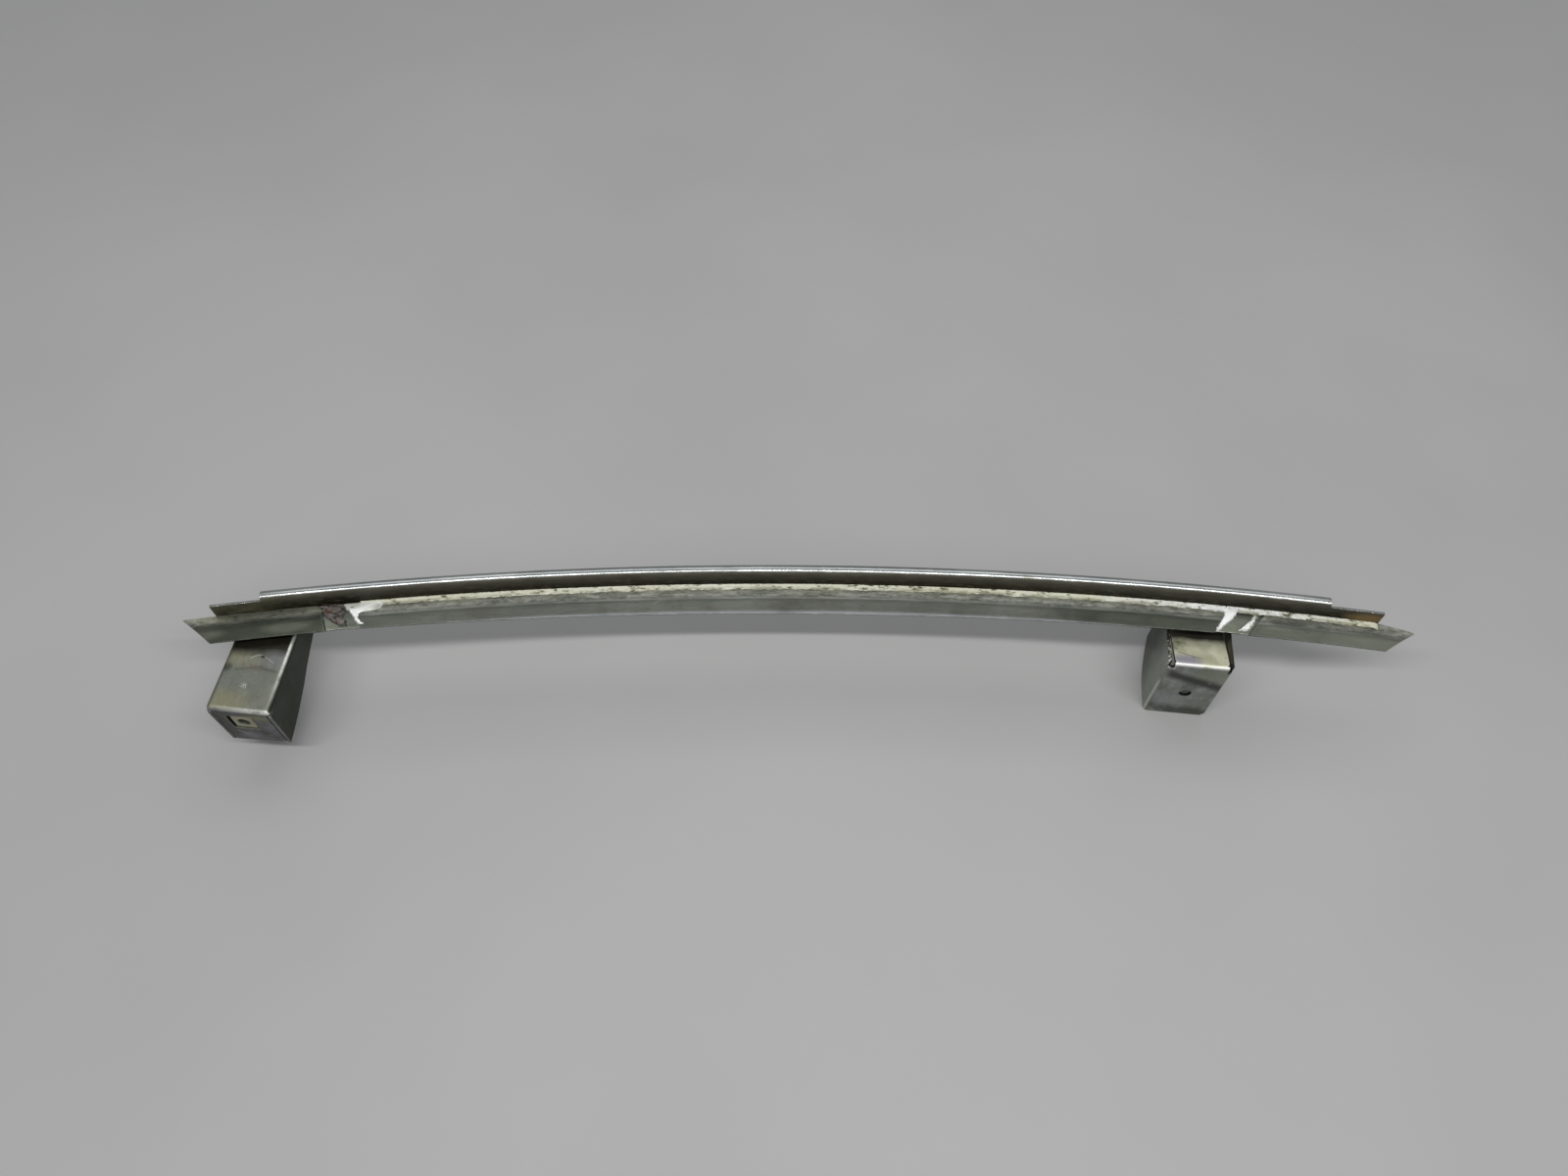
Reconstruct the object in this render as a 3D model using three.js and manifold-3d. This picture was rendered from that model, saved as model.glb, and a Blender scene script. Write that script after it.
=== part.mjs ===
// Bowed sheet-metal rail on two folded brackets: a roll-formed channel with a curled edge, three
// cover strips spot-welded on its leg, sealant along the seam, a box bracket with a captive
// floating nut at one end and a deeper box bracket with a plain screw hole at the other.
// Millimetres. +X along the rail, +Y from the bracket feet towards the rail, +Z out of the strips.
import * as THREE from "three";
import { mergeVertices } from "three/addons/utils/BufferGeometryUtils.js";
import Module from "manifold-3d";

const wasm = await Module();
wasm.setup();

const GAP = 0.3; // clearance between pieces that touch in the real assembly

// Rail: its datum line is an arc in the XY plane, bowed away from the feet.
const RAIL = { radius: 1753, sagitta: 17.9, segments: 60 };
const STRIP = { t: 1.0, z: 35.0, crease: -6.9, lip: -12.3, lipZ: 32.9, belly: 1.2, span: 190 };
const LEG = { t: 1.2, edge: -11.3 };
const WEB = { t: 1.2, left: -251.3, right: 250.5, endZ: 41.6 };
const CURL = { r: 2.1, z: 41.1, left: -230.1, right: 228.1, sweep: 262 };
const ENDS = {
  tip: 265.2,
  tipLip: 251.5,
  rightTipS: -2.7,
  leftInner: { top: -206.8, lip: -203.5, r: 2.2 },
  midLeft: { top: -192.4, lip: -188.6, r: 3.2 },
  midRight: { top: 186.6, lip: 180.2, r: 3.8 },
  rightInner: { top: 204.2, lip: 194.4, r: 1.2 },
};

// Brackets: width, depth, wall and where the foot's corner stands; both are turned by SKEW.
const SKEW = THREE.MathUtils.degToRad(5.64);
const FACE_Z = 28.5; // front face of both brackets
const LEFT = { x: -247.6, y: -41.1, w: 26.8, d: 28.5, t: 1.5, r: 1.4 };
const RIGHT = { x: 159.2, y: -17.5, w: 28.0, d: 44.0, t: 1.5, r: 1.1 };
const LEFT_BACK = [[0, 0], [12, 2.5], [25, 6.5], [33, 10.0], [41, 12.7], [60, 18.4]];
const RIGHT_BACK = [[12, -15.5], [19, -13.2], [26, -8.5], [30, -2.5], [48, 12.0]];
const PLATE = { left: 3.0, right: 26.0, sink: 0.24 }; // right bracket: plate folded back off the foot
const RELIEF = { r: 1.2, v: 1.5, z: 24.0 }; // where its foot, wall and plate meet
const SLIT = 0.35; // cut between a folded flap and the wall beside it
const HOOK = { inner: 1.5, outer: 3.0, top: 38.0 }; // bracket end turned up behind the web

// Captive nut: M5, a square boss on a square plate, loose in a welded cage.
const NUT = { u: 11.8, z: 16.9, boss: 9.6, plate: 13.0, tPlate: 2.6, bore: 2.1, recess: 0.3 };
const WINDOW = 11.2;
const CAGE = { play: 1.0, t: 0.8, flange: 4.0, hole: 4.0 };
const SCREW_HOLE = { u: 13.6, z: 4.2, r: 2.65 };

// Dried sealant.
const SEAM = { w: 2.6, h: 0.5 };

// ---------- small solid helpers ----------

function toSolid(geometry) {
  const g = geometry.clone();
  g.deleteAttribute("normal");
  g.deleteAttribute("uv");
  const merged = mergeVertices(g, 1e-4);
  return new wasm.Manifold(
    new wasm.Mesh({
      numProp: 3,
      vertProperties: new Float32Array(merged.attributes.position.array),
      triVerts: new Uint32Array(merged.index.array),
    }),
  );
}

function toGeometry(solid) {
  const m = solid.getMesh();
  const g = new THREE.BufferGeometry();
  g.setAttribute("position", new THREE.BufferAttribute(m.vertProperties, 3));
  g.setIndex(new THREE.BufferAttribute(m.triVerts, 1));
  const flat = g.toNonIndexed();
  flat.computeVertexNormals();
  return flat;
}

const union = (...g) => toGeometry(g.map(toSolid).reduce((a, b) => a.add(b)));
const meet = (a, b) => toGeometry(toSolid(a).intersect(toSolid(b)));
const cut = (g, ...tools) => toGeometry(tools.map(toSolid).reduce((a, b) => a.subtract(b), toSolid(g)));

// Axis-aligned block from corner to corner.
function block(x0, y0, z0, x1, y1, z1) {
  const g = new THREE.BoxGeometry(x1 - x0, y1 - y0, z1 - z0);
  return g.translate((x0 + x1) / 2, (y0 + y1) / 2, (z0 + z1) / 2);
}

// Round bar along Y from y0 to y1.
function barY(x, z, r, y0, y1, sides = 32) {
  return new THREE.CylinderGeometry(r, r, y1 - y0, sides).translate(x, (y0 + y1) / 2, z);
}

// Prism: outline of [y, z] points, from x0 to x1.
function prismX(points, x0, x1) {
  const shape = new THREE.Shape(points.map(([y, z]) => new THREE.Vector2(y, z)));
  const g = new THREE.ExtrudeGeometry(shape, { depth: x1 - x0, bevelEnabled: false });
  const m = new THREE.Matrix4().makeBasis(
    new THREE.Vector3(0, 1, 0), new THREE.Vector3(0, 0, 1), new THREE.Vector3(1, 0, 0));
  return g.applyMatrix4(m).translate(x0, 0, 0);
}

// Prism: outline of [x, z] points, from y0 to y1.
function prismY(points, y0, y1) {
  const shape = new THREE.Shape(points.map(([x, z]) => new THREE.Vector2(x, z)));
  const g = new THREE.ExtrudeGeometry(shape, { depth: y1 - y0, bevelEnabled: false });
  return g.rotateX(Math.PI / 2).translate(0, y1, 0);
}

// Prism: outline of [x, y] points, from z0 to z1.
function prismZ(points, z0, z1) {
  const shape = new THREE.Shape(points.map(([x, y]) => new THREE.Vector2(x, y)));
  return new THREE.ExtrudeGeometry(shape, { depth: z1 - z0, bevelEnabled: false }).translate(0, 0, z0);
}

// ---------- sheet sections ----------

// Rounds each inner corner of a polyline with an arc of the given radius.
function bend(points, radius, steps = 4) {
  const out = [points[0]];
  for (let i = 1; i < points.length - 1; i++) {
    const [a, b, c] = [points[i - 1], points[i], points[i + 1]].map((p) => new THREE.Vector2(...p));
    const u = a.clone().sub(b).normalize();
    const w = c.clone().sub(b).normalize();
    const half = Math.acos(THREE.MathUtils.clamp(u.dot(w), -1, 1)) / 2;
    const reach = radius / Math.tan(half);
    const centre = b.clone().add(u.clone().add(w).normalize().multiplyScalar(radius / Math.sin(half)));
    const p = b.clone().addScaledVector(u, reach).sub(centre);
    const q = b.clone().addScaledVector(w, reach).sub(centre);
    const turn = Math.atan2(p.x * q.y - p.y * q.x, p.dot(q));
    for (let k = 0; k <= steps; k++) {
      const v = p.clone().rotateAround(new THREE.Vector2(), (turn * k) / steps).add(centre);
      out.push([v.x, v.y]);
    }
  }
  out.push(points[points.length - 1]);
  return out;
}

// Offsets a polyline sideways (positive to its left), with mitred corners.
function offset(points, d) {
  const p = points.map(([x, y]) => new THREE.Vector2(x, y));
  return p.map((q, i) => {
    const a = i > 0 ? q.clone().sub(p[i - 1]).normalize() : p[1].clone().sub(q).normalize();
    const b = i < p.length - 1 ? p[i + 1].clone().sub(q).normalize() : a;
    const n = new THREE.Vector2(-(a.y + b.y), a.x + b.x).normalize();
    const k = d / Math.max(0.2, n.dot(new THREE.Vector2(-a.y, a.x)));
    return [q.x + n.x * k, q.y + n.y * k];
  });
}

// Closed outline of a sheet: the polyline offset by both amounts.
const sheet = (points, d0, d1) => [...offset(points, d0), ...offset(points, d1).reverse()];

// ---------- sweeping along the rail's arc ----------

const railY = (x, s) => RAIL.sagitta - RAIL.radius + Math.sqrt((RAIL.radius + s) ** 2 - x * x);

// The lip is a little wider at the rail's middle than at its ends: how much further down it reaches
// at x, for a point at s.
function belly(x, s) {
  const along = Math.max(0, 1 - (x / STRIP.span) ** 2);
  return STRIP.belly * along * Math.max(0, (STRIP.crease - s) / (STRIP.crease - STRIP.lip));
}

// Triangles that close an outline: across the thickness for a sheet, by ear clipping otherwise.
function capTriangles(v2, isSheet) {
  if (!isSheet) return THREE.ShapeUtils.triangulateShape(v2, []);
  const n = v2.length;
  const out = [];
  for (let i = 0; i < n / 2 - 1; i++) out.push([i, i + 1, n - 2 - i], [i, n - 2 - i, n - 1 - i]);
  return out;
}

// Sweeps a closed outline of [s, z] along the rail. The ends are functions of s, z, so that an end
// can be square, slanted or rounded.
function sweep(outline, x0, x1, segments = RAIL.segments, isSheet = false) {
  const v2 = outline.map(([s, z]) => new THREE.Vector2(s, z));
  if (THREE.ShapeUtils.isClockWise(v2)) v2.reverse();
  const n = v2.length;
  const position = [];
  for (let k = 0; k <= segments; k++)
    for (const { x: s, y: z } of v2) {
      const x = THREE.MathUtils.lerp(x0(s, z), x1(s, z), k / segments);
      const more = belly(x, s);
      position.push(x, railY(x, s - more), z - more * TILT);
    }
  const index = [];
  for (let k = 0; k < segments; k++)
    for (let i = 0; i < n; i++) {
      const [a, b] = [k * n + i, k * n + ((i + 1) % n)];
      index.push(a, b, b + n, a, b + n, a + n);
    }
  for (const [a, b, c] of capTriangles(v2, isSheet)) {
    index.push(a, c, b);
    index.push(segments * n + a, segments * n + b, segments * n + c);
  }
  const g = new THREE.BufferGeometry();
  g.setAttribute("position", new THREE.Float32BufferAttribute(position, 3));
  g.setIndex(index);
  const flat = g.toNonIndexed();
  flat.computeVertexNormals();
  return flat;
}

const square = (x) => (s) => x * (1 + s / RAIL.radius);

// Where the strips lie, from the lip to the web, and how steeply the lip falls.
const TILT = (STRIP.z - STRIP.lipZ) / (STRIP.crease - STRIP.lip);
const SEAT = [[STRIP.lip, STRIP.lipZ], [STRIP.crease, STRIP.z], [-GAP, STRIP.z]];

// A slanted end with its upper corner rounded off; side is +1 for an end that faces +X.
function strapEnd({ top, lip, r = 0 }, side) {
  return (s) => {
    const down = THREE.MathUtils.clamp((-GAP - s) / (-GAP - STRIP.lip), 0, 1);
    const x = THREE.MathUtils.lerp(top, lip, down);
    const inCorner = r > 0 ? Math.max(0, r - (-GAP - s)) : 0;
    return x - side * (r > 0 ? r - Math.sqrt(Math.max(0, r * r - inCorner * inCorner)) : 0);
  };
}

// An end given by [s, x] stops, from the upper edge downwards.
const edgeOf = (stops) => (s) => {
  for (let i = 1; i < stops.length; i++)
    if (s >= stops[i][0])
      return THREE.MathUtils.mapLinear(s, stops[i][0], stops[i - 1][0], stops[i][1], stops[i - 1][1]);
  return stops[stops.length - 1][1];
};

// Points along the seat line from s0 to s1, dense enough for rounded ends.
function seatLine(s0, s1, step = 0.8) {
  const at = (s) => (s < STRIP.crease ? STRIP.z - (STRIP.crease - s) * TILT : STRIP.z);
  const stops = [];
  for (let s = s0; s < s1 - 1e-6; s += step) stops.push(s);
  stops.push(s1);
  if (s0 < STRIP.crease && s1 > STRIP.crease) stops.push(STRIP.crease);
  stops.sort((a, b) => a - b);
  const clear = stops.filter((s, i) => i === 0 || s - stops[i - 1] > 0.12);
  return clear.map((s) => [s, at(s)]);
}

// ---------- rail pieces ----------

function railChannel() {
  const legTop = STRIP.t + GAP;
  const legLine = offset(SEAT, -(legTop + LEG.t / 2));
  const seatZ = legLine[1][1];
  const slope = (legLine[1][1] - legLine[0][1]) / (legLine[1][0] - legLine[0][0]);
  const start = [LEG.edge, seatZ - (legLine[1][0] - LEG.edge) * slope];
  const foot = bend([start, legLine[1], [WEB.t / 2, seatZ], [WEB.t / 2, CURL.z]], 1.2, 4);
  const centre = [WEB.t / 2 + CURL.r, CURL.z];
  const curl = [];
  for (let a = 180 - 18; a >= 180 - CURL.sweep; a -= 18) {
    const rad = THREE.MathUtils.degToRad(a);
    curl.push([centre[0] + CURL.r * Math.cos(rad), centre[1] + CURL.r * Math.sin(rad)]);
  }
  const outline = sheet([...foot, ...curl], WEB.t / 2, -WEB.t / 2);
  const full = sweep(outline, square(WEB.left), square(WEB.right), RAIL.segments, true);
  // At both ends the curl is trimmed away and only the web goes on.
  const trims = [-1, 1].flatMap((side) => {
    const [a, b] = side < 0 ? [WEB.left - 9, CURL.left] : [CURL.right, WEB.right + 9];
    const behind = [[WEB.t, 37], [9, 37], [9, 47], [WEB.t, 47]];
    const above = [[-2, WEB.endZ], [9, WEB.endZ], [9, 47], [-2, 47]];
    return [behind, above].map((o) => sweep(o, square(a), square(b), 8));
  });
  return cut(full, ...trims);
}

function strip(x0, x1, segments) {
  const line = seatLine(STRIP.lip, -GAP);
  return sweep(sheet(line, 0, -STRIP.t), x0, x1, segments, true);
}

const stripLeft = () =>
  strip(strapEnd({ top: -ENDS.tip, lip: -ENDS.tipLip }, -1), strapEnd(ENDS.leftInner, 1), 8);
const stripMiddle = () => strip(strapEnd(ENDS.midLeft, -1), strapEnd(ENDS.midRight, 1), 44);
// The right-hand tip is sheared from both edges, so its point sits a little below the upper edge.
function stripRight() {
  const tip = edgeOf([[-GAP, ENDS.tipLip - 0.6], [ENDS.rightTipS, ENDS.tip], [STRIP.lip, ENDS.tipLip]]);
  return strip(strapEnd(ENDS.rightInner, -1), tip, 8);
}

// Bead of sealant in the corner between strip and web.
function seam(x0, x1, segments) {
  const z = STRIP.z + GAP;
  const outline = [[-SEAM.w, z], [-GAP, z], [-GAP, z + SEAM.h], [-1.3, z + 0.42], [-SEAM.w, z + 0.26]];
  const wander = (x) => 0.5 * Math.sin(x * 0.21) + 0.3 * Math.sin(x * 0.53);
  return sweep(outline, square(x0 + wander(x0)), square(x1 + wander(x1)), segments);
}

// Pad of sealant on the leg, in the gap between two strips.
function pad(s0, s1, left, right, top) {
  const line = seatLine(s0, s1, 0.7);
  return sweep(sheet(line, top, -STRIP.t), left, right, 4, true);
}

function sealantLeftTorn() {
  const left = edgeOf([[-0.6, -203.0], [-2.0, -205.6], [-4.5, -205.0], [-7.5, -202.6], [-10.4, -198.6]]);
  const right = edgeOf([[-0.6, -198.6], [-3.0, -196.8], [-6.0, -195.6], [-8.4, -195.2], [-10.4, -196.2]]);
  return pad(-10.4, -0.6, left, right, 0.5);
}

function sealantLeftRun() {
  const left = edgeOf([[-0.6, -195.4], [-3.0, -194.6], [-6.0, -193.2], [-8.6, -192.0], [-10.6, -190.6]]);
  const right = edgeOf([[-0.6, -191.1], [-3.0, -192.0], [-6.0, -191.1], [-8.6, -190.3], [-10.6, -189.7]]);
  return pad(-10.6, -0.6, left, right, 0.2);
}

function sealantRightInner() {
  const left = edgeOf([[-0.6, 185.2], [-2.2, 185.9], [-4.0, 185.5], [-7.5, 183.4], [-10.8, 181.6]]);
  const right = edgeOf([[-0.6, 191.9], [-2.2, 191.1], [-4.0, 189.8], [-7.5, 186.6], [-10.8, 183.4]]);
  return pad(-10.8, -0.6, left, right, 0.25);
}

function sealantRightOuter() {
  const left = edgeOf([[-0.6, 198.2], [-1.8, 197.8], [-3.5, 197.2], [-5.7, 195.9], [-7.8, 193.6], [-10.2, 190.6]]);
  const right = edgeOf([[-0.6, 201.6], [-2.4, 200.4], [-3.7, 199.4], [-7.6, 197.0], [-10.2, 194.2]]);
  return pad(-10.2, -0.6, left, right, 0.25);
}

// ---------- brackets ----------

// Bracket frame: u across, v from the foot to the rail, z as the part's.
function bracketMatrix({ x, y }) {
  const u = new THREE.Vector3(Math.cos(SKEW), -Math.sin(SKEW), 0);
  const v = new THREE.Vector3(Math.sin(SKEW), Math.cos(SKEW), 0);
  return new THREE.Matrix4().makeBasis(u, v, new THREE.Vector3(0, 0, 1)).setPosition(x, y, 0);
}

// The bracket's end, turned up behind the web and parallel to it, and everything behind that.
const hook = (x0, x1, z) => {
  const { inner, outer, top } = HOOK;
  return sweep([[inner, z], [outer + 1, z], [outer + 1, top], [inner, top]], square(x0), square(x1), 4);
};
const behindHook = sweep(
  [[HOOK.outer, -60], [90, -60], [90, 90], [HOOK.outer, 90]], square(-320), square(320), 40);

function leftBracket() {
  const { w, d, t, r } = LEFT;
  const h = t / 2;
  const length = 62;
  const foldTop = FACE_Z - t - 1.1;
  const walls = bend([[h, 0], [h, FACE_Z - h], [w - h, FACE_Z - h], [w - h, 0]], r, 5);
  const channel = cut(
    prismY(sheet(walls, h, -h), 0, length),
    prismX([[-1, -1], ...LEFT_BACK.slice(1), [length + 2, -1]], -2, w + 2), // rising back edges
    block(-1, -1, foldTop - SLIT, w + 1, t + r, FACE_Z + 1), // room for the fold
  );
  const foldLine = bend([[6, FACE_Z - h], [h, FACE_Z - h], [h, 0.2]], r, 5);
  const envelope = prismY(offset(walls, h).map(([u, z]) => [u, z === 0 ? -5 : z]), -1, length);
  const fold = meet(prismX(sheet(foldLine, h, -h), -1, w + 1), envelope);
  const flap = cut(
    fold,
    block(-1, -1, -1, t + SLIT, 7, foldTop),
    block(w - t - SLIT, -1, -1, w + 1, 7, foldTop),
    block(NUT.u - WINDOW / 2, -1, NUT.z - WINDOW / 2, NUT.u + WINDOW / 2, 3, NUT.z + WINDOW / 2),
  );
  const body = union(channel, flap).applyMatrix4(bracketMatrix(LEFT));
  return cut(union(body, hook(LEFT.x + 8.6, LEFT.x + w + 1.6, FACE_Z - t)), behindHook);
}

// Foot with both walls folded back off its sides, and a plate between them folded back off its top.
function rightBracket() {
  const { w, d, t, r } = RIGHT;
  const h = t / 2;
  const back = FACE_Z - d;
  const around = bend([[h, 48], [h, h], [w - h, h], [w - h, 48]], r, 5);
  const line = bend([[h, 20], [h, FACE_Z - h], [48, FACE_Z - h - PLATE.sink * 48]], r, 5);
  const shell = cut(
    prismZ(sheet(around, h, -h), back, FACE_Z),
    prismX([[2.6, back - 1], ...RIGHT_BACK, [60, back - 1]], -1, w + 1), // rising back edges
    block(PLATE.left, -1, RELIEF.z, PLATE.right, t + 0.3, FACE_Z + 1), // room for the fold
    prismY([[w - 3.5, back - 1], [w + 1, back - 1], [w + 1, back + 4.5]], -1, 49), // clipped corner
  );
  const plate = prismX(sheet(line, h, -h), PLATE.left, PLATE.right);
  const reliefs = [PLATE.left - 0.9, PLATE.right + 0.4].map((u) =>
    new THREE.CylinderGeometry(RELIEF.r, RELIEF.r, 10, 28).rotateX(Math.PI / 2).translate(u, RELIEF.v, RELIEF.z + 7));
  const hole = barY(SCREW_HOLE.u, SCREW_HOLE.z, SCREW_HOLE.r, -2, 4, 40);
  const body = cut(union(shell, plate), hole, ...reliefs).applyMatrix4(bracketMatrix(RIGHT));
  return cut(union(body, hook(RIGHT.x + 7.2, RIGHT.x + w - 0.2, 20.2)), behindHook);
}

// ---------- captive nut and its cage, in the left bracket ----------

function floatingNut() {
  const { u, z, boss, plate, tPlate, bore, recess } = NUT;
  const back = LEFT.t + GAP;
  const b = boss / 2;
  const p = plate / 2;
  const solid = union(
    block(u - b, recess, z - b, u + b, back + 0.5, z + b),
    block(u - p, back, z - p, u + p, back + tPlate, z + p),
  );
  return cut(solid, barY(u, z, bore, -1, 9, 28)).applyMatrix4(bracketMatrix(LEFT));
}

function nutCage() {
  const { u, z, plate, tPlate } = NUT;
  const v0 = LEFT.t + GAP;
  const v1 = v0 + tPlate + GAP;
  const inner = plate / 2 + CAGE.play;
  const outer = inner + CAGE.t;
  const lug = v0 + CAGE.t;
  const solid = union(
    block(u - outer, v0, z - outer, u + outer, v1 + CAGE.t, z + outer),
    block(u - 6, v0, z - outer - CAGE.flange, u + 6, lug, z - outer + 0.4),
    block(u + outer - 0.4, v0, z - 6, u + outer + CAGE.flange, lug, z + 6),
  );
  const pocket = block(u - inner, v0 - 1, z - inner, u + inner, v1, z + inner);
  return cut(solid, pocket, barY(u, z, CAGE.hole, v0, 12, 28)).applyMatrix4(bracketMatrix(LEFT));
}

// ---------- materials ----------

const zinc = (shade = 0x9aa096) => new THREE.MeshStandardMaterial({ color: shade, metalness: 0.9, roughness: 0.42 });
const dullZinc = () => new THREE.MeshStandardMaterial({ color: 0x868b7c, metalness: 0.85, roughness: 0.5 });
const nutSteel = () => new THREE.MeshStandardMaterial({ color: 0xa8a489, metalness: 0.9, roughness: 0.45 });
const whiteSealant = () => new THREE.MeshStandardMaterial({ color: 0xdedccb, metalness: 0, roughness: 0.85 });
const rustySealant = () => new THREE.MeshStandardMaterial({ color: 0x7a6a60, metalness: 0, roughness: 0.9 });

// ---------- assembly ----------

const PIECES = {
  rail_channel: [railChannel, dullZinc],
  cover_strip_left: [stripLeft, zinc],
  cover_strip_middle: [stripMiddle, zinc],
  cover_strip_right: [stripRight, zinc],
  bracket_left: [leftBracket, zinc],
  bracket_right: [rightBracket, zinc],
  nut_cage: [nutCage, dullZinc],
  floating_nut: [floatingNut, nutSteel],
  sealant_seam_middle: [() => seam(-190.5, 185.0, 44), whiteSealant],
  sealant_seam_right: [() => seam(192.0, 248.8, 10), whiteSealant],
  sealant_left_torn: [sealantLeftTorn, rustySealant],
  sealant_left_run: [sealantLeftRun, whiteSealant],
  sealant_right_inner: [sealantRightInner, whiteSealant],
  sealant_right_outer: [sealantRightOuter, whiteSealant],
};

const root = new THREE.Group();
root.name = "bowed_rail_on_brackets";
for (const [name, [geometry, material]] of Object.entries(PIECES)) {
  const mesh = new THREE.Mesh(geometry(), material());
  mesh.name = name;
  root.add(mesh);
}

// The frame's origin is the bottom centre of the whole part's box.
const box = new THREE.Box3().setFromObject(root);
const centre = box.getCenter(new THREE.Vector3());
for (const mesh of root.children) mesh.geometry.translate(-centre.x, -centre.y, -box.min.z);

export default root;
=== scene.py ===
import math

import bmesh
import bpy
from mathutils import Matrix, Vector, noise


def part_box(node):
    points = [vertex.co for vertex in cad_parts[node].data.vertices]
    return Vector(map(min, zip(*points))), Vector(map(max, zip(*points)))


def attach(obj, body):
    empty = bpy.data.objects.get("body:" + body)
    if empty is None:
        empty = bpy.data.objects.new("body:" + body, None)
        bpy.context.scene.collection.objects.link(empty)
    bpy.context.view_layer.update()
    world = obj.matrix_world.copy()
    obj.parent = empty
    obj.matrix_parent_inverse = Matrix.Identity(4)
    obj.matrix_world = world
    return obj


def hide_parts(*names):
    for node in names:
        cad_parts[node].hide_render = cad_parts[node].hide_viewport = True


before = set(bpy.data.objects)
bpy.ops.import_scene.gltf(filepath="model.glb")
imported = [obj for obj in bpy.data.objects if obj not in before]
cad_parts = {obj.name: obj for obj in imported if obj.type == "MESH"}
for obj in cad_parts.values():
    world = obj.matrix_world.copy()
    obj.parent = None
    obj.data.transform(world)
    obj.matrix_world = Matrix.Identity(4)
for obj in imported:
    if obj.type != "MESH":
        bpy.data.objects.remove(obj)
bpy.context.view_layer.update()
SCENE = bpy.context.scene

# The shape code works in millimetres in a datum frame: X along the rail, Y from the feet to the
# rail, Z out of the strips. ORIGIN is where that frame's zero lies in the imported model.
RADIUS, SAGITTA = 1753.0, 17.9  # the web's front face, seen from above
SEAT = 35.0  # top face of the cover strips
GAP = 0.3  # between sheets that touch
STRIP_T, CHANNEL_T = 1.0, 1.2
STRIP_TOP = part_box("cover_strip_middle")[1]
ORIGIN = Vector((0.0, STRIP_TOP.y * 1000 - (SAGITTA - GAP), STRIP_TOP.z * 1000 - SEAT))
SKEW = math.radians(5.64)  # both brackets stand turned by this
COS, SIN = math.cos(SKEW), math.sin(SKEW)

# the strips' cross-section: flat to the crease, then a lip that slopes down to its edge
CREASE, LIP, LIP_Z = -6.9, -12.3, 32.9
TILT = (SEAT - LIP_Z) / (CREASE - LIP)
BELLY, SPAN = 1.2, 190.0  # the lip is wider at mid-rail, by this much, out to this x

TIP, TIP_LIP = 265.1, 251.5  # the strips' pointed outer ends, at the top and at the lip
LEFT_STRIP = -206.0  # x where the left strip ends
WEB_ENDS, CURL_ENDS = (-251.3, 250.5), (-230.1, 228.1)

# brackets, in their own u (across), v (from the foot to the rail) and z
FACE = 28.5  # front face of both
SHEET_MID = 0.75  # middle surface of their 1.5 mm sheet
UNDER, BEHIND, HOOK_TOP = 0.65, 2.25, 37.3  # s where the flat ends, s and top of the hook
WINDOW, WINDOW_HALF = (11.8, 16.9), 5.6  # in the left flap
BORE = (11.85, 16.65)  # the floating nut's
HOLE, HOLE_R = (13.6, 4.2), 2.65  # in the right flap
PLATE_U, PLATE_Z, PLATE_SINK = (3.0, 26.0), 24.0, 0.24  # the right bracket's folded plate


def lerp(a, b, t):
    return a + (b - a) * t


def clamp(x):
    return max(0.0, min(1.0, x))


def at(stops, x):
    """Piecewise linear value at x of (x, value) stops in rising order."""
    if x <= stops[0][0]:
        return stops[0][1]
    for (x0, v0), (x1, v1) in zip(stops, stops[1:]):
        if x <= x1:
            return lerp(v0, v1, (x - x0) / (x1 - x0))
    return stops[-1][1]


def wobble(x, y, z=0.0, scale=1.0, seed=0.0):
    return noise.noise(Vector((x * scale + seed, y * scale - seed, z * scale + 2 * seed)))


# ---- frames


def rail_point(x, s, z):
    """A point s millimetres outside the rail's datum arc; the lip reaches further at mid-rail."""
    more = BELLY * max(0.0, 1 - (x / SPAN) ** 2) * max(0.0, (CREASE - s) / (CREASE - LIP))
    r = RADIUS + s - more
    return Vector((x, SAGITTA - RADIUS + math.sqrt(r * r - x * x), z - more * TILT))


def rail_offset(p):
    return math.hypot(p.x, p.y - SAGITTA + RADIUS) - RADIUS


def seat_z(s):
    """Height of the strips' top face; the crease is slightly rounded."""
    near = clamp(1 - abs(s - CREASE) / 1.1)
    return SEAT - max(0.0, CREASE - s) * TILT - 0.12 * near * near


class Bracket:
    """A corner, a width, and the walls' rear edge as (v, z) stops."""

    def __init__(self, x, y, width, back):
        self.x, self.y, self.w, self.back = x, y, width, back

    def point(self, u, v, z):
        return Vector((self.x + u * COS + v * SIN, self.y - u * SIN + v * COS, z))

    def local(self, p):
        dx, dy = p.x - self.x, p.y - self.y
        return dx * COS - dy * SIN, dx * SIN + dy * COS

    def low(self, v):
        """Height of the walls' rear edge."""
        return at(self.back, v)

    def reach(self, u, s):
        """The v at which the line at u meets the arc offset by s."""
        v = 40.0
        for _ in range(6):
            v += s - rail_offset(self.point(u, v, 0))
        return v


LEFT = Bracket(-247.6, -41.1, 26.8, [(0, 0), (12, 2.5), (25, 6.5), (33, 10.0), (41, 12.7),
    (60, 18.4)])
RIGHT = Bracket(159.2, -17.5, 28.0, [(0, -15.5), (12, -15.5), (19, -13.2), (26, -8.5), (30, -2.5),
    (48, 12.0)])


# ---- mesh helpers


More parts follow.
